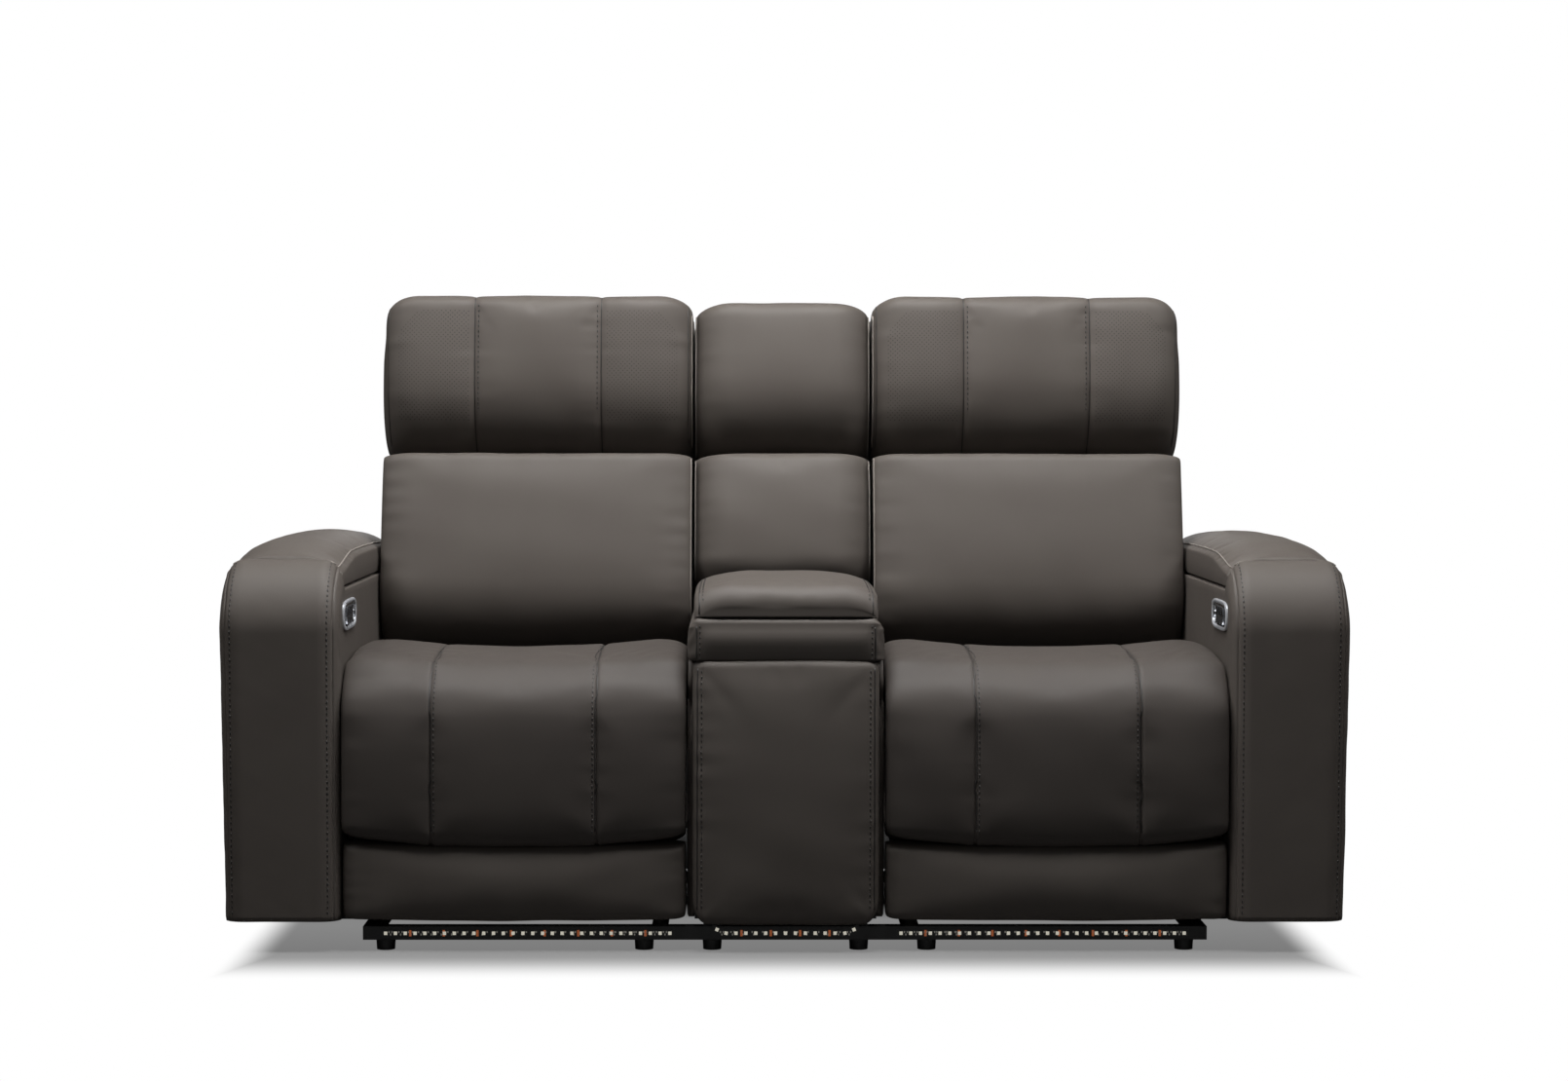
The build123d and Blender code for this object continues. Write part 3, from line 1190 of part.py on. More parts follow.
def console_lid_board():
    """The lid's plywood board with the two leaves of its hinge."""
    board = block(
        (-LID_BOARD_HALF, LID_BOARD_HALF),
        (CONSOLE_BOX_FRONT_Y, FRONT_Y + LID_REAR_SETBACK),
        (LID_BOTTOM, LID_BOTTOM + LID_BOARD),
    )
    for side in (-1, 1):
        x_range = span(side, LID_ARM_SPREAD, LID_ARM_WIDTH)
        leaf = block(x_range, (FRONT_Y + LID_REAR_SETBACK, LID_PIVOT_Y), (LID_BOTTOM, LID_BOTTOM + LID_BOARD))
        leaf += rod(x_range, LID_PIVOT_Y, LID_PIVOT_Z, LID_BOARD / 2)
        board += leaf
        board -= rod(x_range, LID_PIVOT_Y, LID_PIVOT_Z, LID_ROD_RADIUS + PIN_GAP)
    return board


def lid_hinge_rod():
    """The rod of the lid's hinge, held in three blocks on the console box."""
    hinge = rod((-LID_BOARD_HALF, LID_BOARD_HALF), LID_PIVOT_Y, LID_PIVOT_Z, LID_ROD_RADIUS)
    inner = LID_ARM_SPREAD - 1.0
    outer = LID_ARM_SPREAD + LID_ARM_WIDTH + 1.0
    for x_range in ((-LID_BOARD_HALF, -outer), (-inner, inner), (outer, LID_BOARD_HALF)):
        y_range = (LID_PIVOT_Y - LID_BOARD / 2, LID_PIVOT_Y + LID_BOARD / 2)
        hinge += block(x_range, y_range, (CONSOLE_TOP + SEATED, LID_PIVOT_Z + LID_BOARD / 2))
    return hinge


def console_lid_pad():
    """The lid's crowned armrest pad, rounded over its front."""
    return pad(
        LID_HALF, upward, LID_BOTTOM + LID_BOARD + SEATED, LID_TOP,
        FRONT_Y + COLLAR_SETBACK - 4.0, FRONT_Y + LID_REAR_SETBACK,
        r_low=LID_FRONT_RADIUS, r_high=22.0, crown=6.0,
        draw=LID_DRAW, corner=8.0, side_round=LID_SIDE_ROUND, puff=LID_CROWN, low_corner=10.0,
    )


def console_back_frame():
    """The closed upright box that carries the console's two back pads."""
    wall = CONSOLE_BACK_WALL
    half = CONSOLE_BACK_FRAME_HALF
    deep = -BACK_LENGTH
    shape = block((-half, half), (BACK_PAD + SEATED, BACK_THICKNESS), (deep, BACK_LENGTH - HEAD_CORNER))
    hollow = block(
        (-half + wall, half - wall),
        (BACK_PAD + wall, BACK_THICKNESS - wall),
        (CONSOLE_BACK_FLOOR, BACK_LENGTH - HEAD_CORNER - wall),
    )
    ground = block((-BAY_HALF, BAY_HALF), (-TOTAL_DEPTH, TOTAL_DEPTH), (-TOTAL_DEPTH, SKIRT_BOTTOM))
    return lean(shape - hollow) - ground


def console_back_pad():
    """The console's lower back pad."""
    return lean(
        pad(
            CONSOLE_BACK_HALF, rear_facing, -BACK_PAD, -6.0, CONSOLE_BACK_PAD_BOTTOM, BACK_PAD_TOP,
            r_low=30.0, r_high=BACK_TOP_RADIUS, crown=4.0,
            draw=BACK_DRAW, corner=12.0, side_round=BACK_SIDE_ROUND, puff=3.0,
        )
    )


def console_head_pad():
    """The console's upper back pad, in line with the headrests."""
    return lean(
        pad(
            CONSOLE_BACK_HALF, rear_facing, -BACK_PAD, -4.0, HEAD_BOTTOM, BACK_LENGTH - 8.0,
            r_low=HEAD_CORNER_RADIUS, r_high=HEAD_TOP_RADIUS, crown=HEAD_CROWN,
            draw=HEAD_DRAW, corner=24.0, side_round=CONSOLE_HEAD_SIDE_ROUND, puff=8.0, low_corner=10.0,
        )
    )


def power_supply():
    """The transformer on the console's rear tube, with its mains inlet."""
    width, depth, height = SUPPLY_SIZE
    rear = REAR_TUBE_Y + TUBE_WIDTH / 2
    low = TUBE_TOP + SEATED
    spacer = CONSOLE_FOOT_SPREAD - CONSOLE_SPACER_WIDTH / 2 - SEATED
    half = min(width / 2, spacer)
    body = block((-half, half), (rear - TUBE_WIDTH, rear), (low, low + SPACER_HEIGHT - SEATED))
    body += block((-half, half), (rear + SEATED, rear + depth), (TUBE_BOTTOM, TUBE_BOTTOM + height))
    body += block((-half, half), (rear, rear + SEATED), (low, low + SPACER_HEIGHT - SEATED))
    inlet = Pos(0, rear + depth + INLET_LENGTH / 2, TUBE_BOTTOM + height / 2) * Rot(X=90)
    socket = inlet * Cylinder(INLET_RADIUS, INLET_LENGTH) - inlet * Cylinder(INLET_RADIUS - 3.0, INLET_LENGTH)
    return [body, socket]


def wiring_loom():
    """The leads from the power supply along the rear tube to each seat's connector."""
    y = REAR_TUBE_Y + TUBE_WIDTH / 2 + SEATED + LOOM_RADIUS
    z = (TUBE_BOTTOM + TUBE_TOP) / 2
    start = SUPPLY_SIZE[0] / 2
    width, depth, height = CONNECTOR_SIZE
    rear = REAR_TUBE_Y + TUBE_WIDTH / 2 + SEATED
    pieces = []
    for side in (-1, 1):
        pieces.append(rod(span(side, start, SEAT_MID - width / 2 - start), y, z, LOOM_RADIUS))
        x = side * SEAT_MID
        pieces.append(
            block((x - width / 2, x + width / 2), (rear, rear + depth), (z - height / 2, z + height / 2))
        )
    return pieces


def place(shapes, side):
    """Moves a seat module's shapes to the left or right bay."""
    if not isinstance(shapes, list):
        shapes = [shapes]
    return [Pos(side * SEAT_MID, 0, 0) * shape for shape in shapes]


def to_side(shape, side):
    """The right arm's shape as it is, or mirrored for the left arm."""
    return shape if side > 0 else mirror(shape, about=Plane.YZ)


# ---- write every node
save("base_frame", base_frame())
save("feet", feet())
strips = led_strip(0, LED_CONSOLE_COUNT)
for sign in (-1, 1):
    strips += led_strip(sign * (SEAT_MID - FRONT_TUBE_SETBACK / 2), LED_SEAT_COUNT)
save("led_strips", strips)
save("power_supply", power_supply())
save("wiring_loom", wiring_loom())
cover, frame, top_pad, bezel = arm_cover(), arm_frame(), arm_pad(), switch_bezel()
save("arm_frames", [to_side(frame, -1), to_side(frame, 1)])
save("switch_bezels", [to_side(bezel, -1), to_side(bezel, 1)])
save("arm_covers", [to_side(cover, -1), to_side(cover, 1)])
save("arm_pads", [to_side(top_pad, -1), to_side(top_pad, 1)])
headrest = without(headrest_pad(), head_ear_slots())
seat_nodes = {
    "mechanism_frame": mechanism_frame(),
    "seat_deck": seat_deck(),
    "seat_cushion": seat_cushion(),
    "drive_motors": drive_motors(),
    "footrest_slider": slider(1, FOOTREST_SLIDER_SETBACK),
    "back_slider": slider(-1, BACK_SLIDER_SETBACK),
    "footrest_board": footrest_board(),
    "footrest_upper_pad": footrest_upper_pad(),
    "footrest_lower_pad": footrest_lower_pad(),
    "footrest_drive_links": footrest_drive_links(),
    "footrest_stay_links": footrest_stay_links(),
    "back_frame": back_frame(),
    "back_pad": back_pad(),
    "back_shell": back_shell(),
    "headrest_frame": headrest_frame(),
    "headrest_pad": headrest,
    "headrest_motor": headrest_motor(),
}
for side, word in ((-1, "left"), (1, "right")):
    for index, key in enumerate(("footrest", "back", "headrest")):
        save(f"{word}_{key}_rocker", to_side(rocker(index), side))
    save(f"{word}_light_button", to_side(light_button(), side))
    for node, shapes in seat_nodes.items():
        save(f"{word}_{node}", place(shapes, side))
save("console_box", console_box())
save("console_front_panel", console_front_panel())
save("console_collar", console_collar())
save("console_lid_board", console_lid_board())
save("console_lid_pad", console_lid_pad())
save("lid_hinge_rod", lid_hinge_rod())
save("console_back_frame", console_back_frame())
save("console_back_pad", console_back_pad())
save("console_head_pad", console_head_pad())
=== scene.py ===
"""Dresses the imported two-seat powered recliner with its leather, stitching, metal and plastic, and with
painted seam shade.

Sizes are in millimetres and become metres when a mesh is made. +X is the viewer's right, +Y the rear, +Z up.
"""

import copy
import json
import logging
import math
from dataclasses import dataclass, replace
from enum import Enum
from typing import Sequence

import bmesh
import bpy
import numpy as np
from mathutils import Matrix, Vector
from mathutils.bvhtree import BVHTree
from mathutils.geometry import delaunay_2d_cdt

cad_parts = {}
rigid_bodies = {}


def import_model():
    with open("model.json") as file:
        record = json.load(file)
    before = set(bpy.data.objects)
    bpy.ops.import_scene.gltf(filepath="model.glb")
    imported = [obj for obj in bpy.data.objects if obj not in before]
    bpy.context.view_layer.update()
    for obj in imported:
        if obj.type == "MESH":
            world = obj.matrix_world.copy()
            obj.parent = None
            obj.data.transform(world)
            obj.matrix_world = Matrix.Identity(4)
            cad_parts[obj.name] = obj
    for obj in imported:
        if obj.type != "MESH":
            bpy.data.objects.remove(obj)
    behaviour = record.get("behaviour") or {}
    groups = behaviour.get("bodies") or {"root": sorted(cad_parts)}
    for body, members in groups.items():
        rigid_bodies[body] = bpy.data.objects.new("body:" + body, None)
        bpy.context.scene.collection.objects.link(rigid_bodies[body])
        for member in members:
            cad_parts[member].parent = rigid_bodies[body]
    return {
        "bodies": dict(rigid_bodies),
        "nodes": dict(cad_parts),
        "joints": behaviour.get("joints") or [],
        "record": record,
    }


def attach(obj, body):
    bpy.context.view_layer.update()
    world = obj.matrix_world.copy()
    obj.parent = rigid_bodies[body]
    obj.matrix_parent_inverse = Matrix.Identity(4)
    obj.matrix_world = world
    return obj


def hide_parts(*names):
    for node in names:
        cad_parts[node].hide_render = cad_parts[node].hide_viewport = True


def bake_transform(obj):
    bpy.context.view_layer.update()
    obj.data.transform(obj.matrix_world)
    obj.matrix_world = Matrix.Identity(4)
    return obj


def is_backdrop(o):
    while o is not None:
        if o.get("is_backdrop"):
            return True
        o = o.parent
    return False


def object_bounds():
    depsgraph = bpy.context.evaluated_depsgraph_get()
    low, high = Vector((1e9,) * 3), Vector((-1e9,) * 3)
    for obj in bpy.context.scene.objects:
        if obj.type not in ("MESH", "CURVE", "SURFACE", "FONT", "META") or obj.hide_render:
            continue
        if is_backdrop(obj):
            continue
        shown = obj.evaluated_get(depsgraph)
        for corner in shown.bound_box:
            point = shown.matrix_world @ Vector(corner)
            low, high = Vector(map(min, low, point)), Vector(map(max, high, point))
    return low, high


LOG = logging.getLogger("recliner")
MM = 0.001
SIM_FRAMES = 20
QUICK_FILL = 1.3
Array = np.ndarray
Thing = bpy.types.Object
Finish = bpy.types.Material
Tree = bpy.types.NodeTree
Socket = bpy.types.NodeSocket


@dataclass(frozen=True)
class Layout:
    """Main measures of the recliner, in millimetres."""

    front_y: float = -475.04
    back_y: float = 52.96
    seat_level: float = 495.0
    rake: float = math.radians(12.0)
    seat_mid: float = 461.0
    arm_inner: float = 755.0
    arm_width: float = 203.0
    arm_rear_y: float = 329.96
    skirt: float = 52.0
    fold_y: float = -438.07
    fold_z: float = 448.03
    fold_half: float = 45.0


SIZE = Layout()


class Facing(Enum):
    """Which way a pad's stuffed face looks."""

    FRONT = "front"
    REAR = "rear"
    UP = "up"


class Side(Enum):
    """The two seats, as seen from the front."""

    LEFT = -1
    RIGHT = 1

    @property
    def word(self) -> str:
        """The side's name in lower case."""
        return self.name.lower()


# ---- numbers
def ease(value: Array) -> Array:
    """Smooth step from 0 to 1 of values cut to that range."""
    cut = np.clip(value, 0.0, 1.0)
    return cut * cut * (3 - 2 * cut)


def ease_one(value: float) -> float:
    """Smooth step of one number."""
    return float(ease(np.array(value)))


def side_fall(distance: Array, width: float) -> Array:
    """How far a rounded side has fallen, from 1 at the edge to 0 at width inside it."""
    inside = np.clip(distance / width, 0.0, 1.0)
    return 1 - np.sqrt(1 - (1 - inside) ** 2)


def ripple(points: Array, wavelength: float, seed: int) -> Array:
    """A soft, seeded unevenness over space.

    Args:
        points: Places, (n, 3).
        wavelength: Typical distance between two rises.
        seed: Seed of the waves' directions and phases.

    Returns:
        One value from about -1 to 1 for each place.
    """
    rng = np.random.default_rng(seed)
    total = np.zeros(len(points))
    for _ in range(7):
        way = rng.normal(size=3)
        way *= 2 * math.pi / (wavelength * rng.uniform(0.6, 1.6)) / np.linalg.norm(way)
        total += np.sin(points @ way + rng.uniform(0, 2 * math.pi))
    return total / 3.5


def at_x(x: float, others: Array) -> Array:
    """Points that share one x, from their other coordinates."""
    return np.column_stack([np.full(len(others), x), others])


def lean(points: Array) -> Array:
    """Turns points of the leaning back (x, depth, height) into upright ones."""
    x, depth, height = points[..., 0], points[..., 1], points[..., 2]
    cos, sin = math.cos(SIZE.rake), math.sin(SIZE.rake)
    y = SIZE.back_y + depth * cos + height * sin
    return np.stack([x, y, SIZE.seat_level - depth * sin + height * cos], axis=-1)


def linear(code: str) -> tuple[float, float, float, float]:
    """The linear colour of an sRGB hex code."""
    parts = [int(code[i : i + 2], 16) / 255 for i in (1, 3, 5)]
    red, green, blue = ((p / 12.92) if p <= 0.04045 else ((p + 0.055) / 1.055) ** 2.4 for p in parts)
    return red, green, blue, 1.0


# ---- meshes
def linked(name: str, data: bpy.types.ID) -> Thing:
    """A new object of some data, put into the scene."""
    made = bpy.data.objects.new(name, data)
    bpy.context.scene.collection.objects.link(made)
    return made


def make_mesh(
    name: str, points: Array, faces: Sequence[Sequence[int]], finish: Finish, closed: bool = True
) -> Thing:
    """Makes an object from points in millimetres.

    Args:
        name: The object's name.
        points: Places, (n, 3), in millimetres.
        faces: Corners of each face.
        finish: The material.
        closed: Whether the faces close a volume and are to be turned outwards.

    Returns:
        The new object, smooth shaded.
    """
    mesh = bpy.data.meshes.new(name)
    mesh.from_pydata((np.asarray(points) * MM).tolist(), [], [list(face) for face in faces])
    if closed:
        work = bmesh.new()
        work.from_mesh(mesh)
        bmesh.ops.recalc_face_normals(work, faces=work.faces)
        work.to_mesh(mesh)
        work.free()
    mesh.polygons.foreach_set("use_smooth", [True] * len(mesh.polygons))
    mesh.materials.append(finish)
    return linked(name, mesh)


def read_points(thing: Thing) -> Array:
    """The places of an object's vertices, in millimetres."""
    flat = np.empty(len(thing.data.vertices) * 3)
    thing.data.vertices.foreach_get("co", flat)
    return flat.reshape(-1, 3) / MM


def write_points(thing: Thing, points: Array) -> None:
    """Moves an object's vertices to places in millimetres."""
    thing.data.vertices.foreach_set("co", (points * MM).ravel())
    thing.data.update()


def read_normals(thing: Thing) -> Array:
    """The directions in which an object's vertices face."""
    flat = np.empty(len(thing.data.vertices) * 3)
    thing.data.vertex_normals.foreach_get("vector", flat)
    return flat.reshape(-1, 3)


def settle(thing: Thing) -> Thing:
    """Turns an object and its modifiers into one plain mesh."""
    graph = bpy.context.evaluated_depsgraph_get()
    mesh = bpy.data.meshes.new_from_object(thing.evaluated_get(graph))
    thing.modifiers.clear()
    thing.data = mesh
    return thing


def smoothed(thing: Thing, levels: int = 1) -> Thing:
    """Subdivides an object's surface and settles it."""
    finer = thing.modifiers.new("finer", "SUBSURF")
    finer.levels = finer.render_levels = levels
    return settle(thing)


def grid_faces(rows: int, columns: int, wrap: bool = False, start: int = 0) -> list[tuple[int, ...]]:
    """Faces of a grid of points, whose columns may close on themselves.

    Args:
        rows: Number of rows.
        columns: Number of points in a row.
        wrap: Whether the last column meets the first.
        start: Index of the grid's first point.

    Returns:
        Four corners for each face.
    """
    faces = []
    for i in range(rows - 1):
        for j in range(columns if wrap else columns - 1):
            k = (j + 1) % columns
            a, b = start + i * columns, start + (i + 1) * columns
            faces.append((a + j, a + k, b + k, b + j))
    return faces


def tube(name: str, path: Array, radius: float, finish: Finish, sides: int = 8) -> Thing:
    """A round bead along a path, closed at both ends.

    Args:
        name: The object's name.
        path: Places along the bead, (n, 3).
        radius: The bead's radius.
        finish: The material.
        sides: Sides of its section.

    Returns:
        The new object.
    """
    along = np.gradient(path, axis=0)
    along /= np.linalg.norm(along, axis=1, keepdims=True)
    first = np.cross(along, [0.3, 0.5, 0.81])
    first /= np.linalg.norm(first, axis=1, keepdims=True)
    second = np.cross(along, first)
    rings = []
    for k in range(sides):
        turn = 2 * math.pi * k / sides
        rings.append(path + radius * (math.cos(turn) * first + math.sin(turn) * second))
    points = np.stack(rings, axis=1).reshape(-1, 3)
    faces: list[Sequence[int]] = list(grid_faces(len(path), sides, wrap=True))
    faces += [tuple(range(sides)), tuple(range(len(points) - sides, len(points)))]
    return make_mesh(name, points, faces, finish)


def loft(name: str, rings: Array, finish: Finish) -> Thing:
    """A closed body through rings of points, (rings, points, 3), with flat ends."""
    count, size = rings.shape[:2]
    faces: list[Sequence[int]] = list(grid_faces(count, size, wrap=True))
    faces += [tuple(range(size)), tuple(range((count - 1) * size, count * size))]
    return make_mesh(name, rings.reshape(-1, 3), faces, finish)


def flat_parts(thing: Thing, angle: float = 35.0) -> Thing:
    """Shades an object smooth, but keeps its edges sharper than an angle in degrees."""
    thing.data.polygons.foreach_set("use_smooth", [True] * len(thing.data.polygons))
    thing.data.set_sharp_from_angle(angle=math.radians(angle))
    return thing


# ---- materials
def add_node(
    tree: Tree, kind: str, inputs: dict[str | int, object] | None = None, **settings: object
) -> bpy.types.Node:
    """Adds one node to a tree.

    Args:
        tree: The node tree.
        kind: The node's type.
        inputs: A value, or another node's socket, for each input by name or index.
        **settings: The node's own settings.

    Returns:
        The new node.
    """
    made = tree.nodes.new(kind)
    for key, value in settings.items():
        setattr(made, key, value)
    for key, value in (inputs or {}).items():
        if isinstance(value, Socket):
            tree.links.new(value, made.inputs[key])
        else:
            made.inputs[key].default_value = value
    return made


def new_material(name: str) -> tuple[Finish, Tree, Socket]:
    """An empty node material, its tree and the socket of places on the object."""
    made = bpy.data.materials.new(name)
    made.use_nodes = True
    made.node_tree.nodes.clear()
    return made, made.node_tree, add_node(made.node_tree, "ShaderNodeTexCoord").outputs["Object"]


def cloud(tree: Tree, place: Socket, size: float, detail: float, **more: float) -> Socket:
    """A cloudy noise, whose clouds have a size in millimetres."""
    inputs = {"Vector": place, "Scale": 1000 / size, "Detail": detail, **more}
    return add_node(tree, "ShaderNodeTexNoise", inputs).outputs["Fac"]


def two_tones(tree: Tree, share: Socket, tone: str, other: str) -> Socket:
    """A colour between two hex codes."""
    inputs = {0: share, 6: linear(tone), 7: linear(other)}
    return add_node(tree, "ShaderNodeMix", inputs, data_type="RGBA").outputs[2]


def bump(tree: Tree, height: Socket, strength: float, depth: float) -> Socket:
    """A normal that a relief of some depth in millimetres turns."""
    inputs = {"Height": height, "Strength": strength, "Distance": depth * MM}
    return add_node(tree, "ShaderNodeBump", inputs).outputs[0]


def ranged(
    tree: Tree,
    value: Socket,
    start: float,
    end: float,
    low: float = 0.0,
    high: float = 1.0,
    soft: bool = False,
) -> Socket:
    """Maps a value between start and end to one between low and high.

    Args:
        tree: The node tree.
        value: The value.
        start: Where the result is low.
        end: Where the result is high.
        low: The result at the start.
        high: The result at the end.
        soft: Whether the ends are eased.

    Returns:
        The mapped value.
    """
    inputs = {"Value": value, "From Min": start, "From Max": end, "To Min": low, "To Max": high}
    kind = "SMOOTHSTEP" if soft else "LINEAR"
    return add_node(tree, "ShaderNodeMapRange", inputs, interpolation_type=kind).outputs[0]


def surface(tree: Tree, inputs: dict[str | int, object]) -> None:
    """Ends a material with its shader."""
    shader = add_node(tree, "ShaderNodeBsdfPrincipled", inputs)
    add_node(tree, "ShaderNodeOutputMaterial", {"Surface": shader.outputs[0]})


@dataclass(frozen=True)
class Leather:
    """Pigmented cowhide: rolled grain, a low even sheen and slow changes of tone."""

    name: str = "pigmented_cowhide"
    tone: str = "#453F3B"
    light_tone: str = "#4B4641"
    grain: float = 2.4
    grain_depth: float = 0.05
    crease: float = 26.0
    cloud_size: float = 1000 / 9.0
    low_rough: float = 0.56
    high_rough: float = 0.66
    specular: float = 0.3

    def build(self) -> Finish:
        """Builds the leather's node material.

        Returns:
            The material.
        """
        made, tree, place = new_material(self.name)
        tone = two_tones(tree, cloud(tree, place, self.cloud_size, 3.0), self.tone, self.light_tone)
        cells = {"Vector": place, "Scale": 1000 / self.grain, "Smoothness": 0.35}
        pores = add_node(tree, "ShaderNodeTexVoronoi", cells, feature="SMOOTH_F1").outputs["Distance"]
        folds = cloud(tree, place, self.crease, 5.0)
        height = add_node(tree, "ShaderNodeMath", {0: folds, 1: 5.0, 2: pores}, operation="MULTIPLY_ADD")
        normal = bump(tree, height.outputs[0], 0.5, self.grain_depth)
        rough = ranged(tree, pores, 0.0, 1.0, self.low_rough, self.high_rough)
        inputs = {"Base Color": tone, "Roughness": rough, "Normal": normal}
        surface(tree, inputs | {"Specular IOR Level": self.specular, "IOR": 1.5})
        return made


@dataclass(frozen=True)
class Coating:
    """Paint, plating or moulded plastic: an even colour with fine specks and worn gloss, and an optional
    painted glow.
    """

    name: str
    tone: str
    other_tone: str
    metallic: float
    roughness: float
    speck: float
    speck_depth: float
    coat: float = 0.0
    # Painted glow: emission in the coating's own tone, for parts that are no lamp.
    glow: float = 0.0
    wear: float = 0.15

    def build(self) -> Finish:
        """Builds the coating's node material.

        Returns:
            The material.
        """
        made, tree, place = new_material(self.name)
        clouds = cloud(tree, place, self.speck * 25, 4.0)
        specks = cloud(tree, place, self.speck, 2.0)
        tone = two_tones(tree, clouds, self.tone, self.other_tone)
        normal = bump(tree, specks, 0.4, self.speck_depth)
        low, high = (self.roughness * (1 + change) for change in (-self.wear, self.wear))
        rough = ranged(tree, clouds, 0.0, 1.0, low, high)
        inputs = {"Base Color": tone, "Roughness": rough, "Normal": normal}
        inputs |= {"Metallic": self.metallic, "Coat Weight": self.coat}
        surface(tree, inputs | {"Emission Color": tone, "Emission Strength": self.glow})
        return made


@dataclass(frozen=True)
class Plywood:
    """Birch plywood: long pale grain on the faces, with darker streaks."""

    name: str = "birch_plywood"
    tone: str = "#C9A878"
    dark_tone: str = "#A8845A"
    grain: float = 4.0
    grain_depth: float = 0.1
    roughness: float = 0.6

    def build(self) -> Finish:
        """Builds the plywood's node material.

        Returns:
            The material.
        """
        made, tree, place = new_material(self.name)
        squeezed = add_node(tree, "ShaderNodeMapping", {"Vector": place, "Scale": (0.06, 0.5, 1.0)})
        streak = cloud(tree, squeezed.outputs[0], self.grain, 5.0, Distortion=0.4)
        tone = two_tones(tree, streak, self.tone, self.dark_tone)
        normal = bump(tree, streak, 0.3, self.grain_depth)
        surface(tree, {"Base Color": tone, "Roughness": self.roughness, "Normal": normal})
        return made


class Finishes:
    """Every finish of the recliner, built once."""

    def __init__(self) -> None:
        """Builds the materials."""
        self.leather = Leather().build()
        # The seats' hide is painted a shade darker and less shiny than the rest: painted shade for the seat
        # sunk between the arms, console and back.
        self.seat_leather = Leather("worn_seat_cowhide", "#3B3633", "#413C38", specular=0.24).build()
        # The piping is painted lighter and shinier than the flat hide: a painted highlight along the edges
        # that catch the light.
        self.edge_leather = Leather("piped_cowhide_edge", "#6C6661", "#76706A", specular=0.36).build()
        self.plywood = Plywood().build()
        # The boards that show between the cushions are painted near black as painted shade, so that they stay
        # dark in the gaps.
        self.stained = Plywood("black_stained_plywood", "#1A1817", "#131110").build()
        coatings = {
            # Bonded polyester stitching is drawn near black: partly its own colour, partly painted shade
            # where it sinks into the leather. The same colour draws the painted shade in each seam's crease.
            "thread": ("bonded_polyester_thread", "#151210", "#1D1A18", 0.0, 0.55, 0.6, 0.05),
            # A punched hole is drawn as a small near-black cone on the hide, painted shade standing in for
            # its depth.
            "hole": ("punched_hole_felt", "#23201E", "#2B2725", 0.0, 0.9, 1.0, 0.02),
            # The foam hides under black dust cloth, so nothing pale shows in a gap.
            "foam": ("black_dust_cloth_foam", "#1B1918", "#24211F", 0.0, 0.95, 1.5, 0.2),
            # Powder coat has a fine orange-peel that breaks up its highlights.
            "black_steel": ("black_powder_coated_steel", "#141414", "#1D1C1C", 0.0, 0.42, 1.2, 0.05),
            # Zinc plating gives the mechanism its pale metal glints.
            "zinc": ("zinc_plated_steel", "#B9BCC0", "#A3A5A6", 1.0, 0.32, 2.0, 0.02),
            # Moulded plastic is a dull black that sets the feet off from the steel.
            "plastic": ("black_moulded_polypropylene", "#161616", "#1C1B1B", 0.0, 0.5, 0.8, 0.03),
            # Gloss black makes the switch panel's face a dark mirror inside its rim.
            "glossy": ("black_gloss_abs", "#0B0B0D", "#101012", 0.0, 0.12, 4.0, 0.002, 0.4),
            # The rim's satin chrome is only partly metallic: its pale diffuse part is a painted sheen that
            # keeps it the brightest line on the arm, whatever its mirror shows.
            "chrome": ("satin_chrome_on_abs", "#D5D8DE", "#C9CCD2", 0.6, 0.3, 3.0, 0.002),
            # The keys' bright chrome mirrors the room in small marks.
            "key": ("bright_chrome_on_abs", "#E8EAEE", "#DADDE3", 1.0, 0.2, 3.0, 0.001),
            # The tape's black lacquer lets the chips stand out.
            "tape": ("black_flexible_circuit", "#0E0E0E", "#161514", 0.0, 0.35, 2.0, 0.01, 0.3),
            # The unlit chips' pale phosphor is given a faint painted glow, so that they read as a row of
            # light dots.
            "lamp": ("lamp_phosphor", "#E9E4D2", "#F2EEDF", 0.0, 0.35, 1.0, 0.005, 0.0, 0.45),
            # Tinned copper gives a warm mark every third chip, brightened by a faint painted glow.
            "copper": ("tinned_copper_pad", "#C9683A", "#D57C4C", 0.2, 0.4, 1.0, 0.01, 0.0, 0.25),
            # The resistors' grey grains fill the tape between the chips, brightened by a faint painted glow.
            "resistor": ("resistor_ceramic", "#B9B6AC", "#9E9B94", 0.0, 0.4, 1.0, 0.01, 0.0, 0.15),
        }
        for name, values in coatings.items():
            setattr(self, name, Coating(*values).build())


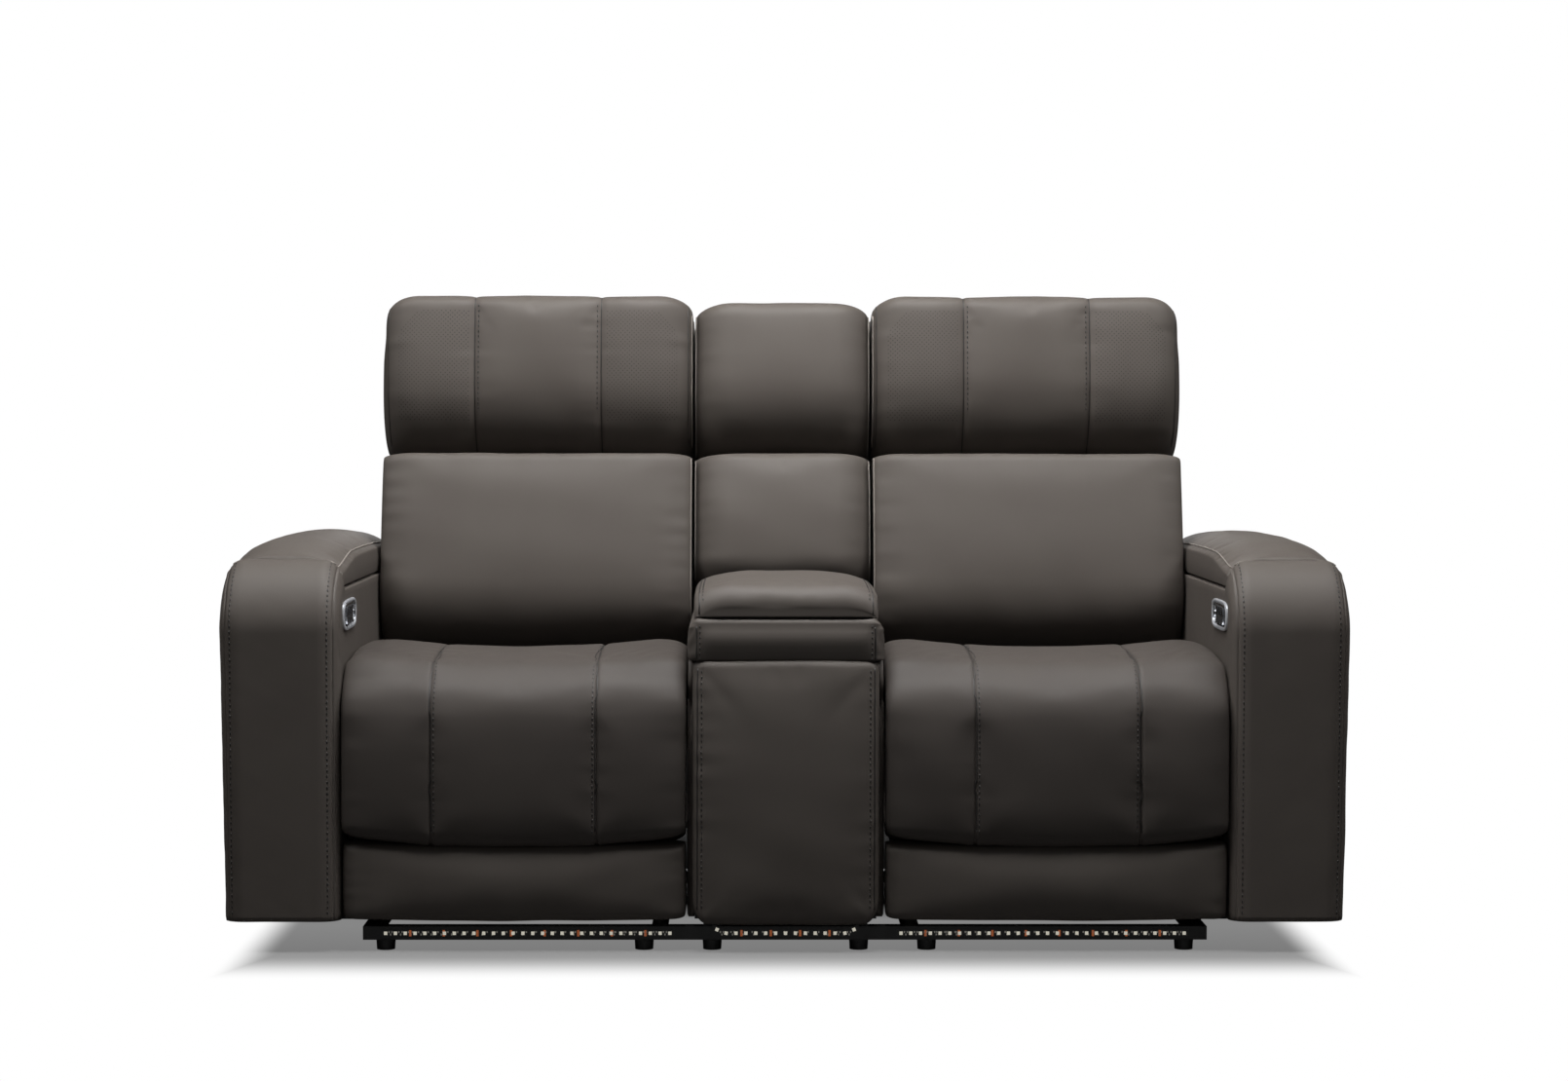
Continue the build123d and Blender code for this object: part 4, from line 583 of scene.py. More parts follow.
# ---- stuffed pads
@dataclass(frozen=True)
class PadForm:
    """A stuffed pad's shape: flat back, crowned face, drawn-in sides and sewn channels."""

    half: float
    back: float
    front: float
    low: float
    high: float
    r_low: float
    r_high: float
    crown: float
    draw: float = 20.0
    corner: float = 10.0
    side_round: float = 30.0
    seam: float = 0.0
    puff: float = 4.0
    low_corner: float = 10.0
    facing: Facing = Facing.FRONT
    leaning: bool = True
    middle: float = 0.0
    channel: float = 3.0
    channel_half: float = 9.0
    slack: float = 5.0
    step: float = 7.5
    rows_deep: int = 8
    outer_corner: float = 0.0
    nose: float = 0.0
    nose_length: float = 1.0
    sag: float = 0.0
    growth: float = 0.002
    fullness: float = 1.0
    side_puff: float = 1.5
    outer_puff: float = 0.0
    top_fall: float = 0.0
    top_fall_length: float = 1.0
    tilt: float = 0.0
    low_reach: float = 1.0
    free_side: float = 60.0
    free_seam: float = 45.0

    def stations(self) -> Array:
        """X places of the pad's rings: close at the rounded sides and at each seam."""
        turn = np.radians([90, 80, 70, 60, 50, 40, 30, 20, 10])
        places = list(self.half - self.side_round * (1 - np.sin(turn)))
        inner = self.half - self.side_round
        marks = [0.0, inner]
        if self.seam:
            near = [self.seam + d for d in (-10, -5, -1.3, 0, 1.3, 5, 10)]
            places += near
            marks = [0.0, near[0], near[-1], inner]
        for low, high in zip(marks[0::2], marks[1::2]):
            count = max(2, round((high - low) / self.step))
            places += list(np.linspace(low, high, count + 1))
        rounded = sorted({round(float(p), 3) for p in places if p > 0.01})
        return np.array([-p for p in reversed(rounded)] + [0.0] + rounded)

    def openness(self, x: Array) -> Array:
        """How free of seams and sides the pad is at x, from 0 to 1."""
        free = ease((self.half - np.abs(x)) / self.free_side)
        if self.seam:
            free = free * ease(np.abs(np.abs(x) - self.seam) / self.free_seam)
        return free

    def face(self, x: Array) -> Array:
        """Height of the face at x before it is filled."""
        value = self.front - self.draw * side_fall(self.half - np.abs(x), self.side_round)
        if self.seam:
            near = np.clip(1 - np.abs(np.abs(x) - self.seam) / self.channel_half, 0, 1)
            value = value - self.channel * ease(near)
        value = value + self.puff * self.openness(x)
        return value - self.slack * self.openness(x)

    def outline(self, x: float) -> tuple[Array, Array]:
        """The pad's front and back paths at x, both from low to high.

        Args:
            x: Distance from the pad's middle.

        Returns:
            Two arrays of (out, along) points with the same count.
        """
        fall = float(side_fall(np.array(self.half - abs(x)), self.side_round))
        face = float(self.face(np.array([x]))[0])
        corner = self.corner + (self.outer_corner if x > 0 else 0.0)
        bow = self.sag * (1 - (x / self.half) ** 2)
        low, high = self.low + self.low_corner * fall - bow, self.high - corner * fall - bow
        reach = self.r_low * self.low_reach
        rise = self.high - self.low - reach - self.r_high
        counts = [max(4, round(r * 1.57 / self.step)) for r in (self.r_low, self.r_high)]
        middle = max(4, round(rise / self.step))
        turn = np.linspace(0, math.pi / 2, counts[0] + 1)[:-1]
        # A power below one lets the roll start without a kink below the flat face.
        drop = np.cos(turn) ** (1.0 if self.low_reach == 1.0 else 0.76)
        bottom = np.stack([face - self.r_low + self.r_low * np.sin(turn), low + reach * (1 - drop)], 1)
        part = np.linspace(0, 1, middle + 1)
        rising = (low + reach) * (1 - part) + (high - self.r_high) * part
        body = np.stack([np.full(middle + 1, face), rising], 1)
        turn = np.linspace(0, math.pi / 2, counts[1] + 1)[1:]
        top = np.stack([face - self.r_high * (1 - np.cos(turn)), high - self.r_high * (1 - np.sin(turn))], 1)
        front = np.concatenate([bottom, body, top])
        share = (front[:, 1] - low) / (high - low)
        front[:, 0] += self.crown * (1 - (2 * share - 1) ** 2)
        front[:, 0] -= self.nose * (1 - ease((front[:, 1] - self.low) / self.nose_length))
        near_top = np.clip(1 - (self.high - front[:, 1]) / self.top_fall_length, 0, 1)
        front[:, 0] -= self.top_fall * near_top**2
        front[:, 0] += self.tilt * (front[:, 1] - (self.low + self.high) / 2)
        rear = np.stack([np.full(len(front), self.back), front[:, 1]], 1)
        return front, rear

    def placed(self, points: Array) -> Array:
        """Turns (x, out, along) points to where the pad is."""
        x, out, along = points[..., 0] + self.middle, points[..., 1], points[..., 2]
        turns = {Facing.UP: (x, along, out), Facing.REAR: (x, out, along), Facing.FRONT: (x, -out, along)}
        turned = np.stack(turns[self.facing], -1)
        return lean(turned) if self.leaning else turned


class Pad:
    """A pad's mesh, kept as rings so that its seams can be found again once it is filled."""

    def __init__(self, form: PadForm, name: str, finish: Finish) -> None:
        """Builds the pad before it is filled.

        Args:
            form: Its shape.
            name: The object's name.
            finish: The leather.
        """
        self.form = form
        self.turned = 1.0
        self.xs = form.stations()
        paths = [form.outline(float(x)) for x in self.xs]
        self.front, back = (
            np.array([at_x(x, both[k]) for x, both in zip(self.xs, paths)]) for k in (0, 1)
        )
        self.count = self.front.shape[1]
        deep = form.rows_deep
        share = np.arange(1, deep + 1)[None, :, None] / (deep + 1)
        top = back[:, -1:] * (1 - share) + self.front[:, -1:] * share
        base = self.front[:, :1] * (1 - share) + back[:, :1] * share
        rings = np.concatenate([back, top, self.front[:, ::-1], base], axis=1)
        self.ring_size = rings.shape[1]
        points = [rings.reshape(-1, 3)]
        faces: list[Sequence[int]] = list(grid_faces(len(self.xs), self.ring_size, wrap=True))
        total = rings.shape[0] * self.ring_size
        self.caps: list[int] = []
        for station, sign in ((0, -1), (len(self.xs) - 1, 1)):
            start, n = station * self.ring_size, self.count
            part = share[0][None]
            extra = back[station, 1:-1, None] * (1 - part) + self.front[station, 1:-1, None] * part
            bulge = np.outer(np.sin(np.linspace(0, math.pi, n)[1:-1]), np.sin(math.pi * share[0, :, 0]))
            extra[..., 0] += sign * (form.side_puff + (form.outer_puff if sign > 0 else 0.0)) * bulge
            points.append(extra.reshape(-1, 3))

            def corner(row: int, column: int) -> int:
                """Index of a point of the side, by its row up and its column from the back."""
                if column == 0:
                    return start + row
                if column == deep + 1:
                    return start + n + deep + (n - 1 - row)
                if row == n - 1:
                    return start + n + column - 1
                if row == 0:
                    return start + 2 * n + deep + (deep - column)
                return total + (row - 1) * deep + column - 1

            for row in range(n - 1):
                for column in range(deep + 1):
                    faces.append([corner(row + i, column + j) for i, j in ((0, 0), (0, 1), (1, 1), (1, 0))])
            self.caps += range(total, total + (n - 2) * deep)
            total += (n - 2) * deep
        self.local = np.concatenate(points)
        self.thing = make_mesh(name, form.placed(self.local), faces, finish)

    def front_index(self, station: int, row: int) -> int:
        """Index of a point of the face, by its ring and its row from the low end."""
        return station * self.ring_size + self.count + self.form.rows_deep + (self.count - 1 - row)

    def twin(self, name: str, middle: float) -> "Pad":
        """A copy of the filled pad, moved along X to its own place, and mirrored on the left.

        Args:
            name: The copy's name.
            middle: X of its middle.

        Returns:
            The copy.
        """
        made = copy.copy(self)
        made.turned = -1.0 if middle < 0 else 1.0
        made.form = replace(self.form, middle=middle)
        made.thing = linked(name, self.thing.data.copy())
        points = read_points(made.thing)
        points[:, 0] = points[:, 0] * made.turned + middle
        if made.turned < 0:
            made.thing.data.flip_normals()
        write_points(made.thing, points)
        return made

    def swell(self) -> None:
        points = read_points(self.thing)
        rise = self.form.slack * QUICK_FILL * self.form.openness(points[:, 0] - self.form.middle)
        free = np.ones(len(points), bool)
        free[self.held_points()] = False
        points[free] += (read_normals(self.thing) * rise[:, None])[free]
        write_points(self.thing, points)

    def held_points(self) -> list[int]:
        """Points that sewing or boards hold still while the pad is filled."""
        size, n, deep = self.ring_size, self.count, self.form.rows_deep
        held = set(self.caps)
        for station, x in enumerate(self.xs):
            start = station * size
            held.update(range(start, start + n + deep // 2))
            held.update(range(start + 2 * n + deep + deep // 2, start + size))
            at_seam = self.form.seam and abs(abs(x) - self.form.seam) < 2
            if at_seam or abs(x) > self.form.half - 1:
                held.update(range(start, start + size))
        return sorted(held)


@dataclass(frozen=True)
class Filling:
    """How cloth is filled from inside to make a stuffed pad."""

    pressure: float = 2.0
    tension: float = 14.0
    bending: float = 2.0
    quality: int = 5
    mass: float = 0.3
    cap: float = 9.0

    def start(self, pad: Pad) -> None:
        """Puts the cloth on a pad."""
        group = pad.thing.vertex_groups.new(name="held")
        group.add(pad.held_points(), 1.0, "REPLACE")
        cloth = pad.thing.modifiers.new("filling", "CLOTH")
        given = cloth.settings
        given.quality, given.mass = self.quality, self.mass
        given.tension_stiffness = given.compression_stiffness = self.tension
        given.shear_stiffness, given.bending_stiffness = self.tension / 2, self.bending
        given.use_pressure, given.uniform_pressure_force = True, self.pressure * pad.form.fullness
        given.shrink_min, given.vertex_group_mass = -pad.form.growth, "held"
        given.effector_weights.gravity = 0
        cloth.collision_settings.use_collision = False
        cloth.point_cache.frame_start, cloth.point_cache.frame_end = 1, SIM_FRAMES

    def finish(self, pad: Pad) -> None:
        """Keeps the filled shape, with each point's travel cut to the cap."""
        graph = bpy.context.evaluated_depsgraph_get()
        mesh = pad.thing.evaluated_get(graph).data
        flat = np.empty(len(mesh.vertices) * 3)
        mesh.vertices.foreach_get("co", flat)
        before = read_points(pad.thing)
        move = flat.reshape(-1, 3) / MM - before
        reach = np.linalg.norm(move, axis=1, keepdims=True)
        LOG.info("%s swelled by up to %.1f mm", pad.thing.name, float(reach.max()))
        scale = np.minimum(1.0, self.cap / np.maximum(reach, 1e-9))
        pad.thing.modifiers.clear()
        pad.thing.vertex_groups.clear()
        write_points(pad.thing, before + move * scale)


class Workroom:
    """Cuts the pads and keeps them, then fills them all together."""

    def __init__(self, finishes: Finishes) -> None:
        """Starts with no pads."""
        self.finishes = finishes
        self.pads: dict[str, Pad] = {}

    def cut(self, name: str, form: PadForm) -> Pad:
        """Cuts one pad's cover and keeps it for filling."""
        self.pads[name] = Pad(form, name, self.finishes.leather)
        return self.pads[name]

    def fill(self, filling: Filling) -> None:
        """Runs the cloth of every pad at once.

        Args:
            filling: The cloth's settings.
        """
        scene = bpy.context.scene
        scene.frame_start, scene.frame_end = 1, SIM_FRAMES
        for pad in self.pads.values():
            filling.start(pad)
        for frame in range(1, SIM_FRAMES + 1):
            scene.frame_set(frame)
        for pad in self.pads.values():
            filling.finish(pad)
        scene.frame_set(1)


def gathers(x: Array, along: Array, apart: float, wavelength: float, seed: int) -> Array:
    """Puckers along a sewn line, which differ from one side of the middle to the other."""
    return ripple(np.column_stack([np.sign(x) * apart, along, np.zeros(len(x))]), wavelength, seed)


@dataclass(frozen=True)
class Shaping:
    """The last hand work on a filled pad: sewn lines, puckers and slow unevenness."""

    seed: int
    groove: float = 1.6
    groove_half: float = 1.1
    pucker: float = 1.1
    pucker_reach: float = 22.0
    pucker_wave: float = 19.0
    seam_flat: float = 6.0
    seam_apart: float = 40.0
    side_pucker: float = 0.6
    side_wave: float = 1.4
    side_flat: float = 8.0
    side_apart: float = 90.0
    end_pucker: float = 0.9
    end_wave: float = 2.2
    end_flat: float = 10.0
    end_apart: float = 50.0
    end_reach: float = 26.0
    end_limit: float = 200.0
    uneven: float = 0.7
    uneven_wave: float = 130.0
    uneven_edge: float = 60.0

    def work(self, pad: Pad) -> None:
        """Shapes a filled pad's mesh."""
        form, thing, local = pad.form, pad.thing, pad.local
        points = read_points(thing)
        normals = read_normals(thing)
        out = np.zeros(len(points))
        face = np.zeros(len(points))
        for station in range(len(pad.xs)):
            for row in range(pad.count):
                face[pad.front_index(station, row)] = 1.0
        x, along = local[:, 0], local[:, 2]
        edge = form.half - np.abs(x)
        ends = np.clip(np.minimum(along - form.low, form.high - along), 0, self.end_limit)
        if form.seam:
            seam = np.abs(np.abs(x) - form.seam)
            out -= self.groove * np.exp(-((seam / self.groove_half) ** 2))
            wave = gathers(x, along, self.seam_apart, self.pucker_wave, self.seed)
            out += self.pucker * wave * np.exp(-(seam / self.pucker_reach)) * ease(seam / self.seam_flat)
        side = np.exp(-np.clip(edge - form.side_round * 0.5, 0, None) / self.pucker_reach)
        side *= ease(edge / self.side_flat)
        wave = gathers(x, along, self.side_apart, self.pucker_wave * self.side_wave, self.seed + 5)
        out += self.side_pucker * self.pucker * wave * side
        end = np.sign(along - form.low - self.end_apart) * self.end_apart
        across = np.column_stack([x, np.zeros(len(x)), end])
        wave = ripple(across, self.pucker_wave * self.end_wave, self.seed + 9)
        wave = wave * np.exp(-ends / self.end_reach) * ease(ends / self.end_flat)
        out += self.end_pucker * self.pucker * wave
        out += self.uneven * ripple(local, self.uneven_wave, self.seed + 3) * ease(edge / self.uneven_edge)
        points += normals * (out * face)[:, None]
        write_points(thing, points)


def face_points(pad: Pad, x: Array, along: Array) -> Array:
    """Places on a shaped pad's face.

    Args:
        pad: The shaped pad, before its surface is subdivided.
        x: Distances from the pad's middle.
        along: Distances along the pad, as its form gives them.

    Returns:
        One place for each pair.
    """
    points = read_points(pad.thing)
    index = np.array([[pad.front_index(s, r) for r in range(pad.count)] for s in range(len(pad.xs))])
    grid = points[index]
    column = np.interp(x * pad.turned, pad.xs, np.arange(len(pad.xs)))
    left = np.clip(column.astype(int), 0, len(pad.xs) - 2)
    heights = pad.local[index[len(pad.xs) // 2], 2]
    row = np.interp(along, heights, np.arange(pad.count))
    low = np.clip(row.astype(int), 0, pad.count - 2)
    a, b = (column - left)[:, None], (row - low)[:, None]
    first = grid[left, low] * (1 - b) + grid[left, low + 1] * b
    second = grid[left + 1, low] * (1 - b) + grid[left + 1, low + 1] * b
    return first * (1 - a) + second * a


@dataclass(frozen=True)
class Perforation:
    """The field of fine holes in a head pad's outer panels, rounded off at its upper corners."""

    # Real holes are 1 mm wide every 4 mm, too fine for the render, so they are drawn coarser.
    pitch: float = 8.4
    size: tuple[float, float, float] = (2.3, 2.3, 0.6)
    lift: float = 0.12
    above_low: float = 62.0
    below_high: float = 34.0
    from_seam: float = 12.0
    from_side: float = 30.0
    corner_drop: float = 40.0
    corner_start: float = 75.0
    corner_width: float = 45.0

    def spots(self, form: PadForm) -> Array:
        """Where the holes are on a pad's face.

        Args:
            form: The pad's shape.

        Returns:
            Rows of (x from the pad's middle, distance along it).
        """
        top = form.high - self.below_high
        spots = []
        for i, along in enumerate(np.arange(form.low + self.above_low, top, self.pitch / 2)):
            shift = self.pitch / 2 if i % 2 else 0.0
            row = np.arange(form.seam + self.from_seam, form.half - self.from_side, self.pitch) + shift
            for sign in (-1, 1):
                for x in row:
                    past = max(0.0, (x - form.half + self.corner_start) / self.corner_width)
                    if along < top - self.corner_drop * past**2:
                        spots.append((sign * x, along))
        return np.array(spots)


def pair(x: float, low: float, high: float) -> list[tuple[float, float, float]]:
    """The same line on both sides of a pad's middle."""
    return [(-x, low, high), (x, low, high)]


def face_line(pad: Pad, x: float, low: float, high: float, step: float = 6.0) -> Array:
    """A line up a pad's face at x, between two distances along it."""
    along = np.linspace(low, high, max(2, round((high - low) / step)))
    return face_points(pad, np.full(len(along), x), along)


# ---- repeated details by geometry nodes
class RunKind(Enum):
    """What a run places along its line."""

    STITCH = "stitch"
    BLOCK = "block"
    HOLE = "hole"


class Runs:
    """Geometry-node trees that place stitches, small blocks and punched holes."""

    def __init__(self) -> None:
        """Builds one tree for each kind of run."""
        self.trees = {kind: self._tree(kind) for kind in RunKind}

    def _tree(self, kind: RunKind) -> Tree:
        """Builds the tree of one kind of run.

        Args:
            kind: What it places.

        Returns:
            The tree, with inputs for its sizes and its material.
        """
        tree = bpy.data.node_groups.new(f"run_of_{kind.value}s", "GeometryNodeTree")
        face = tree.interface
        sorts = {"Geometry": "Geometry", "Pitch": "Float", "Size": "Vector", "Finish": "Material"}
        for name, sort in sorts.items():
            face.new_socket(name, in_out="INPUT", socket_type=f"NodeSocket{sort}")
        face.new_socket("Geometry", in_out="OUTPUT", socket_type="NodeSocketGeometry")
        given = add_node(tree, "NodeGroupInput")
        up = add_node(tree, "GeometryNodeInputNamedAttribute", {"Name": "up"}, data_type="FLOAT_VECTOR")
        if kind is RunKind.HOLE:
            places = given.outputs["Geometry"]
            cone = {"Vertices": 6, "Radius Top": 0.0, "Radius Bottom": 0.5, "Depth": 1.0}
            shape = add_node(tree, "GeometryNodeMeshCone", cone, fill_type="NGON").outputs["Mesh"]
            turn = add_node(tree, "FunctionNodeAlignRotationToVector", {"Vector": up.outputs[0]}, axis="Z")
        else:
            curve = add_node(tree, "GeometryNodeMeshToCurve", {"Mesh": given.outputs["Geometry"]})
            spaced = {"Curve": curve.outputs[0], "Length": given.outputs["Pitch"]}
            places = add_node(tree, "GeometryNodeResampleCurve", spaced, mode="LENGTH").outputs[0]
            if kind is RunKind.STITCH:
                shape = add_node(tree, "GeometryNodeMeshUVSphere", {"Segments": 6, "Rings": 4, "Radius": 0.5})
            else:
                shape = add_node(tree, "GeometryNodeMeshCube", {"Size": (1.0, 1.0, 1.0)})
            shape = shape.outputs["Mesh"]
            along = add_node(tree, "GeometryNodeInputTangent")
            way = {"Vector": along.outputs[0]}
            first = add_node(tree, "FunctionNodeAlignRotationToVector", way, axis="X")
            both = {"Rotation": first.outputs[0], "Vector": up.outputs[0]}
            turn = add_node(tree, "FunctionNodeAlignRotationToVector", both, axis="Z", pivot_axis="X")
        copies = {"Points": places, "Instance": shape, "Rotation": turn.outputs[0]}
        placed = add_node(tree, "GeometryNodeInstanceOnPoints", copies | {"Scale": given.outputs["Size"]})
        real = add_node(tree, "GeometryNodeRealizeInstances", {0: placed.outputs[0]})
        coloured = {"Geometry": real.outputs[0], "Material": given.outputs["Finish"]}
        dressed = add_node(tree, "GeometryNodeSetMaterial", coloured)
        add_node(tree, "NodeGroupOutput", {0: dressed.outputs[0]})
        return tree

    def lay(
        self,
        name: str,
        kind: RunKind,
        lines: Sequence[tuple[Array, Array]],
        pitch: float,
        size: tuple[float, float, float],
        finish: Finish,
    ) -> Thing:
        """Lays runs along lines, or holes at points, as one plain mesh.

        Args:
            name: The new object's name.
            kind: What to place.
            lines: Points and upward directions of each line.
            pitch: Distance between two places along a line.
            size: Length, width and height of what is placed.
            finish: Its material.

        Returns:
            The new object.
        """
        points = np.concatenate([line for line, _ in lines])
        ups = np.concatenate([up for _, up in lines])
        edges, start = [], 0
        for line, _ in lines:
            if kind is not RunKind.HOLE:
                edges += [(start + i, start + i + 1) for i in range(len(line) - 1)]
            start += len(line)
        mesh = bpy.data.meshes.new(name)
        mesh.from_pydata((points * MM).tolist(), edges, [])
        layer = mesh.attributes.new("up", "FLOAT_VECTOR", "POINT")
        layer.data.foreach_set("vector", ups.astype(np.float32).ravel())
        made = linked(name, mesh)
        run = made.modifiers.new("run", "NODES")
        run.node_group = self.trees[kind]
        values = {"Pitch": pitch * MM, "Size": [s * MM for s in size], "Finish": finish}
        for item in self.trees[kind].interface.items_tree:
            if item.in_out == "INPUT" and item.name in values:
                run[item.identifier] = values[item.name]
        settle(made)
        made.data.polygons.foreach_set("use_smooth", [kind is RunKind.STITCH] * len(made.data.polygons))
        return made


class Seamstress:
    """Sews stitches and beads that lie on finished surfaces, and draws painted seam shade there."""

    def __init__(self, finishes: Finishes, runs: Runs) -> None:
        """Keeps what the sewing needs."""
        self.finishes = finishes
        self.runs = runs

    @staticmethod
    def onto(thing: Thing, line: Array, lift: float) -> tuple[Array, Array]:
        """Lays a line on an object's surface.

        Args:
            thing: The finished object.
            line: Points near its surface.
            lift: How far the line stands above the surface.

        Returns:
            Points on the surface, and the directions in which it faces there.
        """
        tree = BVHTree.FromObject(thing, bpy.context.evaluated_depsgraph_get())
        spots, ups = [], []
        for point in line:
            place, normal, _, _ = tree.find_nearest(Vector(point) * MM)
            spots.append(np.array(place) / MM + np.array(normal) * lift)
            ups.append(np.array(normal))
        return np.array(spots), np.array(ups)

    def stitch(
        self, name: str, thing: Thing, lines: Sequence[Array], pitch: float = 9.5, length: float = 6.2
    ) -> Thing:
        """Sews lines of stitches on an object, drawn half as coarse again as real ones so that they show.

        Args:
            name: The new object's name.
            thing: The finished object that they lie on.
            lines: Points near its surface, for each line.
            pitch: Distance from one stitch to the next.
            length: A stitch's length.

        Returns:
            The stitches, as one mesh.
        """
        laid = [self.onto(thing, line, 0.2) for line in lines]
        return self.runs.lay(name, RunKind.STITCH, laid, pitch, (length, 3.0, 1.3), self.finishes.thread)

    def fold(
        self, name: str, thing: Thing, lines: Sequence[Array], radius: float = 1.5
    ) -> Thing:
        """Draws painted seam shade: a near-black cord sunk along each seam, standing in for the shade in its
        crease.

        Args:
            name: The new object's name.
            thing: The finished object that it lies on.
            lines: Points near its surface, for each seam.
            radius: Half the width of the painted seam shade.

        Returns:
            The painted seam shade, as one mesh.
        """
        made = [
            tube(f"{name}_{i}", self.onto(thing, line, -radius * 0.25)[0], radius, self.finishes.thread, 6)
            for i, line in enumerate(lines)
        ]
        return joined(name, made)

    def piping(self, name: str, thing: Thing, lines: Sequence[Array], radius: float) -> Thing:
        """Sews rounded leather piping along lines on an object, in the lighter leather of its painted
        highlight.

        Args:
            name: The new object's name.
            thing: The finished object that it lies on.
            lines: Points near its surface, for each piece of piping.
            radius: The piping's radius.

        Returns:
            The piping, as one mesh.
        """
        made = [
            tube(f"{name}_{i}", self.onto(thing, line, radius * 0.35)[0], radius, self.finishes.edge_leather)
            for i, line in enumerate(lines)
        ]
        return joined(name, made)


def joined(name: str, things: Sequence[Thing]) -> Thing:
    """Joins objects into the first one, under a name."""
    work = bmesh.new()
    for thing in things:
        work.from_mesh(thing.data)
    first = things[0]
    work.to_mesh(first.data)
    work.free()
    for thing in things[1:]:
        bpy.data.objects.remove(thing)
    first.name = name
    first.data.polygons.foreach_set("use_smooth", [True] * len(first.data.polygons))
    return first


def keep(
    thing: Thing, body: str, nodes: Sequence[str] = ()
) -> Thing:
    """Hands a finished piece to the frame.

    Args:
        thing: The piece.
        body: The body that it rides on.
        nodes: The solids that it replaces.

    Returns:
        The piece.
    """
    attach(thing, body)
    return declare(thing, nodes)


def declare(
    thing: Thing, nodes: Sequence[str] = ()
) -> Thing:
    """Hides the solids that a piece replaces and logs how many faces it has."""
    if nodes:
        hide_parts(*nodes)
    LOG.info("%s has %d faces", thing.name, len(thing.data.polygons))
    return thing


# ---- the recliner's soft parts
@dataclass(frozen=True)
class PadForms:
    """The forms of every stuffed pad, in the space of the solids that they stand for."""

    seat_half: float = 291.0
    arm_half: float = 99.5

    def lumbar(self) -> PadForm:
        """The lumbar pad."""
        return PadForm(
            self.seat_half - 0.8, -160.0, 4.0, -18.0, 353.0, 125.0, 15.0, 7.0, draw=24.0, corner=5.0,
            side_round=60.0, puff=4.0, low_corner=10.0, slack=0.8, growth=0.0, fullness=0.08, side_puff=0.6,
            top_fall=5.0, top_fall_length=230.0,
        )

    def head(self) -> PadForm:
        """The headrest pad, with its two sewn channels."""
        return PadForm(
            self.seat_half, -150.0, -1.0, 357.0, 655.0, 118.0, 26.0, 7.0, draw=46.0, corner=24.0,
            side_round=64.0, seam=119.0, puff=10.0, low_corner=16.0, slack=5.0, outer_corner=10.0,
            growth=0.001, outer_puff=8.0, tilt=0.1, channel=5.0, channel_half=13.0, low_reach=1.4,
        )

    def console_case(self) -> PadForm:
        """The padded leather case behind the console's back pads."""
        case = replace(self.back_case(), half=168.3, back=160.6, low=-385.0, high=632.0)
        return replace(case, rows_deep=6, puff=2.0)

    def head_case(self) -> PadForm:
        """The padded leather case behind the headrest."""
        return replace(self.back_case(), half=291.4, back=168.6, low=357.0, high=650.0, rows_deep=6, puff=4.0)

    def back_case(self) -> PadForm:
        """The thinly padded panel on the back's outside."""
        return PadForm(
            290.6, 270.6, 301.0, -330.0, 345.0, 14.0, 16.0, 2.0, draw=9.0, corner=5.0, side_round=20.0,
            puff=1.5, low_corner=4.0, facing=Facing.REAR, slack=0.8, step=14.0, rows_deep=3, growth=0.0,
            fullness=0.15, side_puff=0.8,
        )

    def console_head(self) -> PadForm:
        """The console's upper back pad."""
        return PadForm(
            165.0, -160.0, 2.0, 357.0, 643.0, 118.0, 26.0, 9.0, draw=62.0, corner=18.0, side_round=66.0,
            puff=8.0, low_corner=12.0, slack=2.0, side_puff=3.0, growth=0.0, fullness=0.3, tilt=0.05,
            low_reach=1.4,
        )

    def console_back(self) -> PadForm:
        """The console's lower back pad."""
        return PadForm(
            165.0, -160.0, 6.0, 96.0, 353.0, 60.0, 15.0, 8.0, draw=60.0, corner=5.0, side_round=66.0,
            puff=6.0, low_corner=12.0, slack=1.5, side_puff=3.0, growth=0.0, fullness=0.3, top_fall=9.0,
            top_fall_length=160.0,
        )

    def lid(self) -> PadForm:
        """The padded armrest lid of the console."""
        return PadForm(
            156.0, 569.3, 615.0, -463.5, -40.04, 36.0, 22.0, 6.0, draw=16.0, corner=8.0, side_round=46.0,
            puff=9.0, low_corner=10.0, facing=Facing.UP, leaning=False, slack=1.0, rows_deep=5, growth=0.0,
            fullness=0.2,
        )

    def front_panel(self) -> PadForm:
        """The padded panel over the console's front."""
        return PadForm(
            158.0, 435.04, 478.5, 47.0, 496.0, 14.0, 12.0, 5.0, draw=20.0, corner=10.0, side_round=26.0,
            puff=3.0, low_corner=40.0, leaning=False, slack=1.0, rows_deep=3, growth=0.0,
            fullness=0.15, top_fall=9.0, top_fall_length=210.0,
        )

    def lower_foot(self) -> PadForm:
        """The lower pad of the footrest."""
        return PadForm(
            290.0, 407.34, 463.04, 54.0, 183.0, 12.0, 12.0, 2.0, draw=12.0, corner=3.0, side_round=24.0,
            puff=2.0, low_corner=5.0, leaning=False, slack=1.0, rows_deep=4, growth=0.0, sag=4.0,
            side_puff=2.2, fullness=0.2,
        )

    def arm(self) -> PadForm:
        """The crowned pad along the arm's top."""
        return PadForm(
            self.arm_half, 617.3, 667.0, -391.0, 329.96, 7.0, 24.0, 8.0, draw=16.0, corner=6.0,
            side_round=34.0, puff=20.0, low_corner=0.0, facing=Facing.UP, leaning=False, slack=5.0,
            rows_deep=4, nose=15.0, nose_length=200.0,
        )


